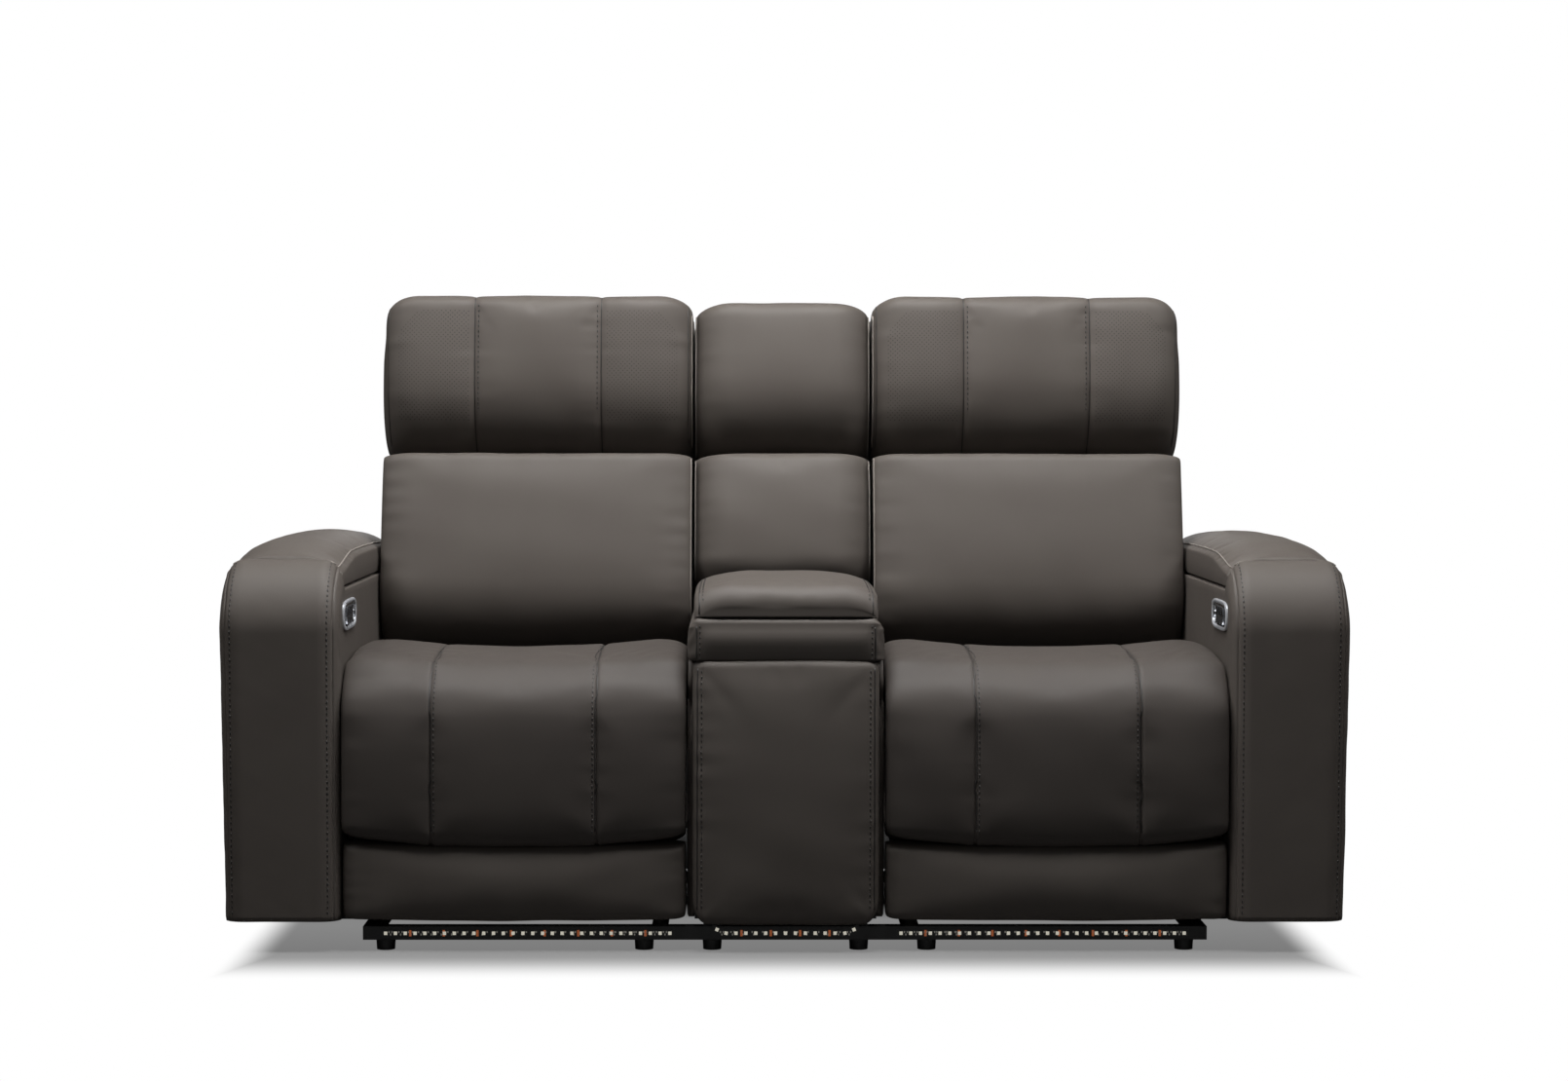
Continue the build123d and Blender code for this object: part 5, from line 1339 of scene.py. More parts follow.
@dataclass(frozen=True)
class Chaise:
    """One cover over a seat cushion and the footrest's upper pad, with its roll at the hinge."""

    half: float = 291.0
    roll_y: float = -385.04
    roll_z: float = 395.0
    roll: float = 90.0
    crown_top: float = 495.0
    rear_top: float = 473.0
    rear_y: float = 24.96
    low: float = 184.0
    seam: float = 140.0
    channel: float = 1.4
    channel_half: float = 4.5
    edge: float = 50.0
    hinge_rise: float = 4.5
    low_bow: float = 18.0
    fall_top: float = 20.0
    fall_front: float = 13.0
    bolster: float = 16.0
    depth: float = 62.0
    hinge_depth: float = 13.0
    hinge_clear: float = 28.0
    hinge_reach: float = 70.0
    wall_bulge: float = 1.2
    rear_round: float = 25.0
    low_round: float = 22.0
    front_bow: float = 3.0
    low_rear_y: float = -407.5
    low_share_z: float = 260.0
    low_share_y: float = -400.0
    skin: float = 3.0
    step: float = 9.0
    slack: float = 2.0
    growth: float = 0.001
    fullness: float = 0.5

    def path(self) -> tuple[Array, Array, Array]:
        """The cover's middle line from the rear down to the footrest's low end.

        Returns:
            Points (y, z), outward directions, and how much of the roll's front they are (0 to 1).
        """
        front_y = self.roll_y - self.roll
        top_z = self.roll_z + self.roll
        rear_y, rear_z = self.rear_y - self.rear_round, self.rear_top - self.rear_round
        rear = [
            (rear_y + self.rear_round * math.cos(turn), rear_z + self.rear_round * math.sin(turn))
            for turn in np.radians(np.arange(-10, 91, 20))
        ]
        rear_start = [(self.rear_y, z) for z in np.linspace(self.rear_top - 95, self.rear_top - 32, 7)]
        count = round((rear_y - self.roll_y) / self.step)
        middle = []
        for i in range(1, count):
            part = i / count
            bow = 1 - (2 * part - 1) ** 2
            line = self.rear_top * (1 - part) + top_z * part
            high = self.crown_top - (self.rear_top + top_z) / 2
            middle.append((rear_y * (1 - part) + self.roll_y * part, line + high * bow))
        bend = [
            (self.roll_y - self.roll * math.sin(turn), self.roll_z + self.roll * math.cos(turn))
            for turn in np.linspace(0, math.pi / 2, 17)
        ]
        fall_z = np.linspace(self.roll_z, self.low + self.low_round, 20)[1:]
        tall = self.roll_z - self.low
        down = [(front_y - self.front_bow * math.sin(math.pi * (self.roll_z - z) / tall), z) for z in fall_z]
        under_y, under_z = front_y + self.low_round, self.low + self.low_round
        under = [
            (under_y - self.low_round * math.cos(turn), under_z - self.low_round * math.sin(turn))
            for turn in np.linspace(0, math.pi / 2, 5)[1:]
        ]
        last = [(y, self.low) for y in np.linspace(under_y, self.low_rear_y, 6)[1:]]
        line = np.array(rear_start + rear + middle + bend + down + under + last)
        along = np.gradient(line, axis=0)
        along /= np.linalg.norm(along, axis=1, keepdims=True)
        out = np.stack([along[:, 1], -along[:, 0]], 1)
        steep = ease((self.roll_y + 10 - line[:, 0]) / 70.0)
        return line, out, steep

    def stations(self) -> Array:
        """X places of the cover's rings."""
        turn = np.radians([90, 78, 66, 54, 42, 30, 18])
        places = list(self.half - self.edge * (1 - np.sin(turn)))
        near = [self.seam + d for d in (-11, -4.5, -1.3, 0, 1.3, 4.5, 11)]
        inner = self.half - self.edge
        for low, high in ((0.0, near[0]), (near[-1], inner)):
            count = max(2, round((high - low) / self.step))
            places += list(np.linspace(low, high, count + 1))
        places += near
        rounded = sorted({round(float(p), 3) for p in places if p > 0.01})
        return np.array([-p for p in reversed(rounded)] + [0.0] + rounded)

    def sink(self, x: float, steep: Array) -> Array:
        """How far the cover lies inside its middle line at x."""
        fall = float(side_fall(np.array(self.half - abs(x)), self.edge))
        near = 1 - abs(abs(x) - self.seam) / self.channel_half
        value = (self.fall_top * (1 - steep) + self.fall_front * steep) * fall
        value = value + self.channel * ease_one(near)
        value = value - self.bolster * (1 - steep) * min(1.0, (x / 235.0) ** 2)
        value = value - self.hinge_rise * np.clip(4 * steep * (1 - steep), 0, 1)
        free = ease_one(min(abs(abs(x) - self.seam), self.half - abs(x)) / 45.0)
        return value + self.slack * free


class SeatCover:
    """The grid of one seat's cover: its face across, and a wall that turns in at each side."""

    def __init__(self, form: Chaise, name: str, finish: Finish) -> None:
        """Builds the cover's grid before it is filled.

        Args:
            form: Its measures.
            name: The object's name.
            finish: The leather.
        """
        self.form = form
        self.line, self.out, self.steep = form.path()
        self.rows = len(self.line)
        face = form.stations()
        walls = [0.16, 0.36, 0.58, 0.8, 1.0]
        self.columns = np.concatenate([np.full(5, face[0]), face, np.full(5, face[-1])])
        self.wall = np.concatenate([walls[::-1], np.zeros(len(face)), walls])
        from_fold = np.hypot(self.line[:, 0] - SIZE.fold_y, self.line[:, 1] - SIZE.fold_z)
        share = np.clip((from_fold - form.hinge_clear) / form.hinge_reach, 0, 1)
        deep = form.hinge_depth + (form.depth - form.hinge_depth) * share
        below = ease((form.low_share_z - self.line[:, 1]) / 70.0) * (self.line[:, 0] < form.low_share_y)
        grid = []
        for x, wall in zip(self.columns, self.wall):
            sunk = form.sink(float(x), self.steep) + wall * deep
            bulge = form.wall_bulge * math.sin(math.pi * wall)
            yz = self.line - self.out * sunk[:, None]
            yz[:, 1] += form.low_bow * ((x / form.half) ** 2 - 0.5) * below
            grid.append(at_x(x + math.copysign(bulge, x), yz))
        points = np.array(grid).reshape(-1, 3)
        faces = grid_faces(len(self.columns), self.rows)
        self.thing = make_mesh(name, points, faces, finish, closed=False)

    def swell(self) -> None:
        points = read_points(self.thing)
        x = np.repeat(self.columns, self.rows)
        free = ease(np.minimum(np.abs(np.abs(x) - self.form.seam), self.form.half - np.abs(x)) / 45.0)
        points += read_normals(self.thing) * (self.form.slack * QUICK_FILL * free)[:, None]
        write_points(self.thing, points)

    def held_points(self) -> list[int]:
        """Points that sewing and boards hold still."""
        held = []
        for station, x in enumerate(self.columns):
            start = station * self.rows
            if self.wall[station] > 0.3 or abs(abs(x) - self.form.seam) < 0.5:
                held += range(start, start + self.rows)
            held += list(range(start, start + 6)) + list(range(start + self.rows - 6, start + self.rows))
        return sorted(set(held))


@dataclass(frozen=True)
class CoverWork:
    """The hand work on a filled seat cover: its sewn channels, puckers and corner folds."""

    seed: int
    groove: float = 2.4
    groove_half: float = 1.2
    seam_reach: float = 20.0
    seam_wave: float = 24.0
    seam_flat: float = 6.0
    seam_apart: float = 60.0
    side_apart: float = 90.0
    side_pucker: float = 0.8
    side_mid: float = 18.0
    side_reach: float = 22.0
    side_wave: float = 30.0
    corner_fold: float = 0.9
    corner_x: float = 215.0
    corner_along: float = 0.53
    corner_reach: float = 60.0
    fold_wave: tuple[float, float, float] = (0.16, 0.11, 0.0)
    uneven: float = 0.8
    uneven_wave: float = 120.0
    uneven_edge: float = 50.0

    def work(self, skin: Thing, cover: SeatCover) -> None:
        """Shapes a cover's object, which is in the middle of the model.

        Args:
            skin: The cover's object.
            cover: Its grid.
        """
        form = cover.form
        points = read_points(skin)
        normals = read_normals(skin)
        run = np.concatenate([[0], np.cumsum(np.linalg.norm(np.diff(cover.line, axis=0), axis=1))])
        along = np.tile(run, len(cover.columns))
        x = np.repeat(cover.columns, cover.rows)
        flat = np.column_stack([x, along, np.zeros(len(x))])
        seam = np.abs(np.abs(x) - form.seam)
        edge = form.half - np.abs(x)
        out = -self.groove * np.exp(-((seam / self.groove_half) ** 2))
        wave = gathers(x, along, self.seam_apart, self.seam_wave, self.seed)
        out += wave * np.exp(-seam / self.seam_reach) * ease(seam / self.seam_flat)
        wave = gathers(x, along, self.side_apart, self.side_wave, self.seed + 2)
        out += self.side_pucker * wave * np.exp(-np.abs(edge - self.side_mid) / self.side_reach)
        corner = np.exp(-((np.abs(x) - self.corner_x) / self.corner_reach) ** 2)
        corner *= np.exp(-((along - along.max() * self.corner_along) / self.corner_reach) ** 2)
        out += self.corner_fold * corner * np.sin(flat @ np.array(self.fold_wave) + self.seed)
        slow = ripple(flat, self.uneven_wave, self.seed + 4)
        out += self.uneven * slow * ease(edge / self.uneven_edge)
        inside = np.repeat(cover.wall == 0, cover.rows)
        points += normals * (out * inside)[:, None]
        write_points(skin, points)


@dataclass(frozen=True)
class ArmForm:
    """An arm's upholstered casing: a broad front roll, flat sides and a flat deck."""

    front_radius: float = 130.0
    top: float = 672.0
    deck: float = 617.0
    roll_end: float = -387.04
    edge: float = 36.0
    front_inset: float = 28.0
    top_inset: float = 50.0
    lean_out: float = 8.0
    puff: float = 2.6
    groove: float = 1.8
    step: float = 6.5
    panel_y: float = -335.04
    panel_z: float = 566.0
    panel_clear: float = 70.0
    inner_rise: float = 0.3
    soft: float = 6.0
    rear_round: float = 14.0
    front_count: int = 76
    arc_count: int = 32
    crest_count: int = 9
    grid_step: float = 12.0
    lean_height: float = 480.0
    welt_back: float = 230.0
    welt_high: float = 420.0

    def turns(self) -> Array:
        """Angles of the stations round an edge, from its side plane to its flat front."""
        return np.radians([0, 9, 18, 27, 36, 43.6, 45, 46.4, 54, 63, 72, 81, 90])

    def ring(self, fall: float) -> Array:
        """The casing's outline, (y, z), from the front's foot over the top to the rear's foot.

        Args:
            fall: How far the rounded edge has fallen, from 0 on the front to 1 on the side.

        Returns:
            Points of the closed outline, whose last ones run along the foot.
        """
        inset, sunk = self.front_inset * fall, self.top_inset * fall
        y_mid, z_mid = SIZE.front_y + self.front_radius, self.top - self.front_radius
        soft, low = self.soft, SIZE.skirt + 3
        last = math.acos((y_mid - self.roll_end + soft) / (self.front_radius - inset))
        front = [(SIZE.front_y + inset, z) for z in np.linspace(low + 5 * fall, z_mid, self.front_count)]
        wide, tall = self.front_radius - inset, self.front_radius - sunk
        arc = [
            (y_mid - wide * math.cos(t), z_mid + tall * math.sin(t))
            for t in np.linspace(0, last, self.arc_count)[1:]
        ]
        crest = arc[-1][1]
        roll = [
            (self.roll_end - soft + soft * math.sin(t), crest - soft + soft * math.cos(t))
            for t in np.linspace(0.25, math.pi / 2, self.crest_count)
        ]
        drop = [(self.roll_end, z) for z in np.linspace(max(crest - 12, self.deck + 1), self.deck, 6)]
        rear_y, bend = SIZE.arm_rear_y - 16 * fall, self.rear_round
        deck = [(y, self.deck - 8 * fall) for y in np.linspace(self.roll_end + 8, rear_y - bend, 44)]
        turn = [
            (rear_y - bend + bend * math.sin(t), self.deck - 8 * fall - bend + bend * math.cos(t))
            for t in np.linspace(0.2, math.pi / 2, 5)
        ]
        rear = [(rear_y, z) for z in np.linspace(self.deck - 24, low, 36)]
        foot = [(y, SIZE.skirt) for y in np.linspace(rear_y - 6, SIZE.front_y + inset + 5, 48)]
        return np.array(front + arc + roll + drop + deck + turn + rear + foot)

    def front_rows(self) -> slice:
        """The outline's points on the front and over the roll."""
        return slice(0, self.front_count + self.arc_count + 4)

    def stitch_offsets(self) -> tuple[float, float]:
        """X of the two lines of stitches, 8 mm inside each welt."""
        welt = self.edge * (1 - math.cos(math.pi / 4))
        return SIZE.arm_inner + welt + 8.0, SIZE.arm_inner + SIZE.arm_width - welt - 8.0

    def build(self, name: str, side: Side, finish: Finish) -> Thing:
        """Builds the casing as one closed body.

        Args:
            name: The object's name.
            side: Which arm.
            finish: The leather.

        Returns:
            The casing.
        """
        turns = self.turns()
        width = SIZE.arm_width
        near = [(self.edge * (1 - math.cos(t)), 1 - math.sin(t), t) for t in turns]
        flat = [(x, 0.0, math.pi / 2) for x in np.linspace(self.edge, width - self.edge, 20)[1:-1]]
        far = [(width - off, fall, t) for off, fall, t in reversed(near)]
        front = self.front_rows()
        rings = []
        for off, fall, turn in near + flat + far:
            yz = self.ring(fall)
            if abs(turn - math.pi / 4) < 1e-6:
                into = np.zeros((len(yz), 2))
                centre = np.array([SIZE.front_y + self.welt_back, self.welt_high])
                way = centre - yz[front]
                way[: self.front_count] = (1.0, 0.0)
                into[front] = way / np.linalg.norm(way, axis=1, keepdims=True)
                yz = yz + into * self.groove
                off += math.copysign(self.groove * 0.7, width / 2 - off)
            rings.append(at_x(SIZE.arm_inner + off, yz))
        grid = np.array(rings)
        count, size = grid.shape[:2]
        points = [grid.reshape(-1, 3)]
        faces: list[Sequence[int]] = list(grid_faces(count, size, wrap=True))
        total = count * size
        for station, sign in ((0, -1.0), (count - 1, 1.0)):
            border = grid[station, :, 1:]
            low, high = border.min(axis=0), border.max(axis=0)
            ys, zs = np.meshgrid(*(np.arange(low[i] + 7, high[i], self.grid_step) for i in (0, 1)))
            spots = np.column_stack([ys.ravel(), zs.ravel()])
            spots = spots[self.inside(spots, border, self.grid_step / 2)]
            flat_points = [Vector(p) for p in np.concatenate([border, spots])]
            edges = [(i, (i + 1) % size) for i in range(size)]
            made = delaunay_2d_cdt(flat_points, edges, [], 1, 1e-4)
            cover, triangles = np.array([tuple(v) for v in made[0]]), made[2]
            kept = [station * size + i for i in range(size)]
            # The inner side stays flat enough for the reclining back to pass.
            rise = self.side_rise(cover[size:], border) * (self.inner_rise if sign < 0 else 1.0)
            kept += range(total, total + len(rise))
            extra = np.column_stack([np.full(len(rise), grid[station, 0, 0]) + sign * rise, cover[size:]])
            points.append(extra)
            total += len(rise)
            faces += [tuple(kept[i] for i in tri) for tri in triangles]
        body = np.concatenate(points)
        share = np.clip((body[:, 2] - SIZE.skirt) / self.lean_height, 0, 1)
        outer = np.clip((body[:, 0] - SIZE.arm_inner) / width, 0, 1)
        body[:, 0] -= self.lean_out * (1 - share) * outer
        body[:, 0] *= side.value
        arm = make_mesh(name, body, faces, finish)
        normals = read_normals(arm)
        sides = ease(np.abs(normals[:, 0]) * 1.2)
        clear = self.off_panel(body[:, 1:])
        clear = np.where(np.abs(body[:, 0]) < SIZE.arm_inner + 60, self.inner_rise * clear, 1.0)
        uneven = 0.7 * ripple(body, 140.0, 40 + side.value) + 0.3 * ripple(body, 45.0, 60 + side.value)
        write_points(arm, body + normals * (uneven * clear * (0.4 + 0.6 * sides))[:, None])
        return arm

    @staticmethod
    def inside(spots: Array, border: Array, margin: float) -> Array:
        """Which spots lie inside a closed border by more than a margin."""
        following = np.roll(border, -1, axis=0)
        result = np.zeros(len(spots), bool)
        near = np.full(len(spots), np.inf)
        for (ay, az), (by, bz) in zip(border, following):
            crosses = (az > spots[:, 1]) != (bz > spots[:, 1])
            if abs(bz - az) > 1e-9:
                result ^= crosses & (spots[:, 0] < (by - ay) * (spots[:, 1] - az) / (bz - az) + ay)
            near = np.minimum(near, np.hypot(spots[:, 0] - ay, spots[:, 1] - az))
        return result & (near > margin)

    def off_panel(self, spots: Array) -> Array:
        """How clear of the switch panel spots (y, z) are, from 0 to 1."""
        away = np.hypot(spots[:, 0] - self.panel_y, (spots[:, 1] - self.panel_z) * 1.6)
        return ease((away - self.panel_clear) / 80.0)

    def side_rise(self, spots: Array, border: Array) -> Array:
        """How far the stuffed side stands out at each spot, clear of the switch panel."""
        near = np.full(len(spots), np.inf)
        for y, z in border:
            near = np.minimum(near, np.hypot(spots[:, 0] - y, spots[:, 1] - z))
        return self.puff * ease(near / 90.0) * self.off_panel(spots)


class Recliner:
    """The whole dressed recliner."""

    # How far the foam lies inside its cover, so that it shows nowhere.
    cover_room = 13.0

    def __init__(self) -> None:
        """Loads the frame and makes the finishes."""
        self.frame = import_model()
        self.cad_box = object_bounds()
        self.finishes = Finishes()
        self.runs = Runs()
        self.room = Workroom(self.finishes)
        self.hand = Seamstress(self.finishes, self.runs)
        self.forms = PadForms()

    # -- seats
    def dress_seat(self, side: Side, cover: SeatCover) -> None:
        """Dresses one seat and its footrest with their one cover.

        Args:
            side: Which seat.
            cover: The filled cover, in the middle of the model.
        """
        form, word = cover.form, side.word
        middle = side.value * SIZE.seat_mid
        skin = linked(f"{word}_seat_cover", cover.thing.data.copy())
        CoverWork(11 + side.value).work(skin, cover)
        points = read_points(skin)
        points[:, 0] += middle
        write_points(skin, points)
        smoothed(skin)
        lines, folds = (
            [at_x(sign * x + middle, cover.line)[16:-9] for sign in (-1, 1)]
            for x in (form.seam - 6.0, form.seam)
        )
        stitches = self.hand.stitch(f"{word}_seat_stitches", skin, lines)
        # The seams' creases get a near-black cord of painted shade.
        seams = self.hand.fold(f"{word}_seat_seams", skin, folds)
        thick = skin.modifiers.new("thick", "SOLIDIFY")
        thick.thickness = form.skin * MM
        thick.offset = -1.0
        settle(skin)
        for piece in (skin, stitches, seams):
            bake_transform(piece)
        declare(skin, (f"{word}_seat_cushion", f"{word}_footrest_upper_pad"))
        declare(stitches)
        declare(seams)
        for node, body in ((f"{word}_seat_cushion", "seat"), (f"{word}_footrest_upper_pad", "footrest")):
            self.foam_core(node, f"{word}_{body}")

    def foam_core(self, node: str, body: str) -> None:
        """Puts the foam under a cover: the solid that it replaces, made a little smaller.

        Args:
            node: The solid.
            body: The body that it rides on.
        """
        core = linked(f"{node}_foam", bpy.data.objects[node].data.copy())
        core.data.materials.clear()
        core.data.materials.append(self.finishes.foam)
        points = read_points(core)
        low, high = points.min(axis=0), points.max(axis=0)
        centre, size = (low + high) / 2, high - low
        write_points(core, centre + (points - centre) * (1 - 2 * self.cover_room / size))
        keep(core, body)

    # -- stuffed pads
    def place_pad(
        self,
        master: str,
        name: str,
        middle: float,
        body: str,
        nodes: Sequence[str],
        seed: int,
        stitches: Sequence[tuple[float, float, float]] = (),
        folds: Sequence[tuple[float, float, float]] = (),
        pipes: Sequence[tuple[float, float, float]] = (),
    ) -> Pad:
        """Copies a filled pad to its place, shapes, sews and keeps it.

        Args:
            master: Which pad it is.
            name: The piece's name.
            middle: X of its middle.
            body: The body that it rides on.
            nodes: The solids that it replaces.
            seed: Seed of its puckers.
            stitches: For each line of stitches its x and where it starts and ends along the pad.
            folds: The same for each line of painted seam shade.
            pipes: The same for each piece of piping.

        Returns:
            The pad.
        """
        pad = self.room.pads[master].twin(name, middle)
        Shaping(seed).work(pad)
        lines, seams, beads = (
            [face_line(pad, x, low, high) for x, low, high in wanted] for wanted in (stitches, folds, pipes)
        )
        pad.rest = bpy.data.objects.new(f"{name}_rest", pad.thing.data.copy())
        smoothed(pad.thing)
        if lines:
            keep(self.hand.stitch(f"{name}_stitches", pad.thing, lines), body)
        # Each seam's crease gets a near-black cord of painted shade.
        if seams:
            keep(self.hand.fold(f"{name}_seams", pad.thing, seams), body)
        if beads:
            keep(self.hand.piping(f"{name}_piping", pad.thing, beads, 1.5), body)
        keep(pad.thing, body, nodes)
        return pad

    def perforate(self, pad: Pad, name: str, body: str) -> None:
        """Punches the fine holes of a head pad's outer panels.

        Args:
            pad: The finished head pad.
            name: The holes' name.
            body: The body that they ride on.
        """
        field = Perforation()
        coarse = copy.copy(pad)
        coarse.thing = pad.rest
        table = field.spots(pad.form)
        near = face_points(coarse, table[:, 0], table[:, 1])
        places, ups = self.hand.onto(pad.thing, near, field.lift)
        # The holes are small near-black cones of painted shade laid on the face.
        holes = self.runs.lay(name, RunKind.HOLE, [(places, -ups)], 1.0, field.size, self.finishes.hole)
        keep(holes, body)

    # -- arms
    def dress_arm(self, side: Side) -> Thing:
        """Builds one arm's cover with its welted front strip.

        Args:
            side: Which arm.

        Returns:
            The cover.
        """
        form = ArmForm()
        arm = form.build(f"{side.word}_arm_cover", side, self.finishes.leather)
        ring, offsets = form.ring(0.0)[form.front_rows()], form.stitch_offsets()
        lines = [at_x(side.value * off, ring)[2:] for off in offsets]
        keep(self.hand.stitch(f"{side.word}_arm_stitches", arm, lines), "root")
        across = side.value * np.linspace(offsets[0] - 10, offsets[1] + 10, 30)
        welt = np.column_stack([across, np.tile(ring[-1], (30, 1))])
        keep(self.hand.piping(f"{side.word}_arm_welt", arm, [welt], 1.6), "root")
        return arm

    # -- console
    def dress_console(self) -> None:
        """Dresses the console: lid, collar, front panel and back pads."""
        self.place_pad("lid", "console_lid_cushion", 0.0, "console_lid", ["console_lid_pad"], 31,
                       pair(141.0, -455.0, -60.0), pair(147.0, -466.0, -45.0))
        self.place_pad("front_panel", "console_front_cushion", 0.0, "root", ["console_front_panel"], 33,
                       pair(143.0, 75.0, 478.0), pair(150.0, 62.0, 486.0))
        self.place_pad("console_head", "console_upper_cushion", 0.0, "root", ["console_head_pad"], 35,
                       pipes=pair(163.5, 358.0, 650.0))
        self.place_pad("console_back", "console_lower_cushion", 0.0, "root", ["console_back_pad"], 37,
                       pipes=pair(163.5, 110.0, 350.0))
        self.place_pad("console_case", "console_back_case", 0.0, "root", ["console_back_frame"], 39)
        self.collar()

    def dress_rear(self, side: Side, seed: int) -> None:
        """Dresses a back's outside: its panel, its side gussets and the headrest's case.

        Args:
            side: Which seat.
            seed: Seed of the unevenness.
        """
        word, middle = side.word, side.value * SIZE.seat_mid
        back, headrest = f"{word}_back", f"{word}_headrest"
        self.place_pad("back_case", f"{back}_case", middle, back, [f"{back}_shell"], seed)
        self.hardware(f"{headrest}_frame", headrest)
        self.place_pad("head_case", f"{word}_head_case", middle, headrest, [f"{headrest}_frame"], seed + 4)
        edge = [(290.8, 163.0), (291.5, 165.0), (291.5, 284.0), (290.8, 286.0)]
        gussets = []
        for sign in (-1, 1):
            rings = [[(middle + sign * x, y, z) for x, y in edge] for z in np.linspace(-326.0, 342.0, 30)]
            gussets.append(loft(f"gusset_{sign}", lean(np.array(rings)), self.finishes.leather))
        keep(joined(f"{back}_gussets", gussets), back, [])

    def hardware(self, node: str, body: str) -> None:
        """Keeps the boards and steel of a solid whose leather part a padded piece replaces.

        Args:
            node: The solid.
            body: The body that it rides on.
        """
        solid = bpy.data.objects[node]
        # The boards get the near-black painted shade of the gaps.
        slots = {"plywood": self.finishes.stained, "black_steel": self.finishes.black_steel}
        for slot, finish in slots.items():
            work = bmesh.new()
            work.from_mesh(solid.data)
            kinds = [s.material for s in solid.material_slots]
            others = [face for face in work.faces if kinds[face.material_index] is not finish]
            bmesh.ops.delete(work, geom=others, context="FACES")
            if work.faces:
                mesh = bpy.data.meshes.new(f"{node}_{slot}")
                work.to_mesh(mesh)
                mesh.materials.append(finish)
                mesh.polygons.foreach_set("material_index", [0] * len(mesh.polygons))
                keep(linked(f"{node}_{slot}", mesh), body)
            work.free()

    def collar(self) -> None:
        """Builds the stitched band round the top of the console."""
        form = Collar()
        band = form.build("console_band", self.finishes.leather)
        face = at_x(form.front - 2, np.linspace(form.low + 2, form.high, 14))
        seams, rows = ([at_x(sign * off, face) for sign in (-1, 1)] for off in (152.0, 146.0))
        # The band's seams get a near-black cord of painted shade.
        keep(self.hand.fold("console_band_seams", band, seams), "root")
        keep(self.hand.stitch("console_band_stitches", band, rows, 8.0, 5.2), "root")
        keep(band, "root", ["console_collar"])
        skirts = [form.skirt(f"console_skirt_{sign}", sign, self.finishes.leather) for sign in (-1, 1)]
        keep(joined("console_side_skirts", skirts), "root", [])

    # -- arms' switch panels
    def dress_panel(self, side: Side) -> list[Thing]:
        """Builds a switch panel's rim and face plate."""
        form = Bezel()
        rim = form.rim(f"{side.word}_panel_rim", side, self.finishes.chrome)
        plate = form.plate(f"{side.word}_panel_face", side, self.finishes.glossy)
        return [rim, plate]

    # -- everything
    def build(self) -> None:
        """Builds and dresses every piece in order."""
        finishes, forms, room = self.finishes, self.forms, self.room
        self.paint_solids()
        # The seat cover takes the darker hide of its painted shade.
        cover = SeatCover(Chaise(), "cover_master", finishes.seat_leather)
        room.pads["cover"] = cover
        for name in ("lumbar", "head", "console_head", "console_back", "lid", "front_panel", "lower_foot",
                     "arm", "back_case", "head_case", "console_case"):
            room.cut(name, getattr(forms, name)())
        room.fill(Filling())
        for side in Side:
            word, middle, seed = side.word, side.value * SIZE.seat_mid, side.value
            back, headrest, footrest = (f"{word}_{part}" for part in ("back", "headrest", "footrest"))
            inner = -side.value * 289.0
            self.dress_seat(side, cover)
            self.place_pad("lumbar", f"{word}_lumbar_cushion", middle, back, [f"{back}_pad"], 3 + seed,
                           pipes=[(inner, 0.0, 350.0)])
            seams = pair(119.0, 362.0, 659.0) + pair(283.0, 375.0, 655.0)
            stitches, pipes = pair(112.0, 440.0, 632.0), [(inner, 372.0, 640.0)]
            head = self.place_pad("head", f"{word}_head_cushion", middle, headrest, [f"{headrest}_pad"],
                                  7 + seed, stitches, seams, pipes)
            self.perforate(head, f"{word}_head_holes", headrest)
            self.place_pad("lower_foot", f"{word}_lower_foot_cushion", middle, footrest,
                           [f"{footrest}_lower_pad"], 13 + seed)
            self.dress_arm_top(side, 17 + seed)
            self.dress_rear(side, 41 + seed)
        for arm in [self.dress_arm(side) for side in Side]:
            keep(arm, "root", ["arm_covers"])
        for plate in [piece for side in Side for piece in self.dress_panel(side)]:
            keep(plate, "root", ["switch_bezels"])
        self.dress_console()
        self.light_strip()
        spent = [pad.thing for pad in room.pads.values()]
        spent += [thing for thing in bpy.data.objects if thing.name.endswith("_rest")]
        for thing in spent:
            bpy.data.objects.remove(thing)

    def dress_arm_top(self, side: Side, seed: int) -> None:
        """Lays the crowned pad along an arm."""
        middle = side.value * (SIZE.arm_inner + SIZE.arm_width / 2)
        self.place_pad("arm", f"{side.word}_arm_cushion", middle, "root", ["arm_pads"], seed,
                       pipes=[(-side.value * 90.0, -380.0, 320.0)])

    def paint_solids(self) -> None:
        """Gives the solids their finishes by their slots, with bright keys and boards painted near black as
        painted shade.
        """
        finishes = self.finishes
        table = {
            "leather": finishes.leather, "plywood": finishes.plywood, "black_steel": finishes.black_steel,
            "zinc_steel": finishes.zinc, "foot_plastic": finishes.plastic, "light_tape": finishes.tape,
            "black_plastic": finishes.plastic, "switch_chrome": finishes.key, "switch_black": finishes.glossy,
        }
        for name in self.frame["nodes"]:
            solid = bpy.data.objects[name]
            for slot in solid.material_slots:
                word = slot.material.name.split(".")[0] if slot.material else ""
                found = next((finish for key, finish in table.items() if key in word), None)
                if found:
                    slot.material = found
                if name.endswith(("_rocker", "_button")):
                    slot.material = finishes.key
                # Boards other than the arms' are painted near black, painted shade for the gaps they show
                # through.
                if "plywood" in word and not name.startswith("arm"):
                    slot.material = finishes.stained

    def light_strip(self) -> None:
        """Builds the lamp tape under the front, with its chips, resistors and copper pads."""
        for part, thing in LampTape().build(self.runs, self.finishes).items():
            keep(thing, "root", ["led_strips"] if part == "tape" else [])


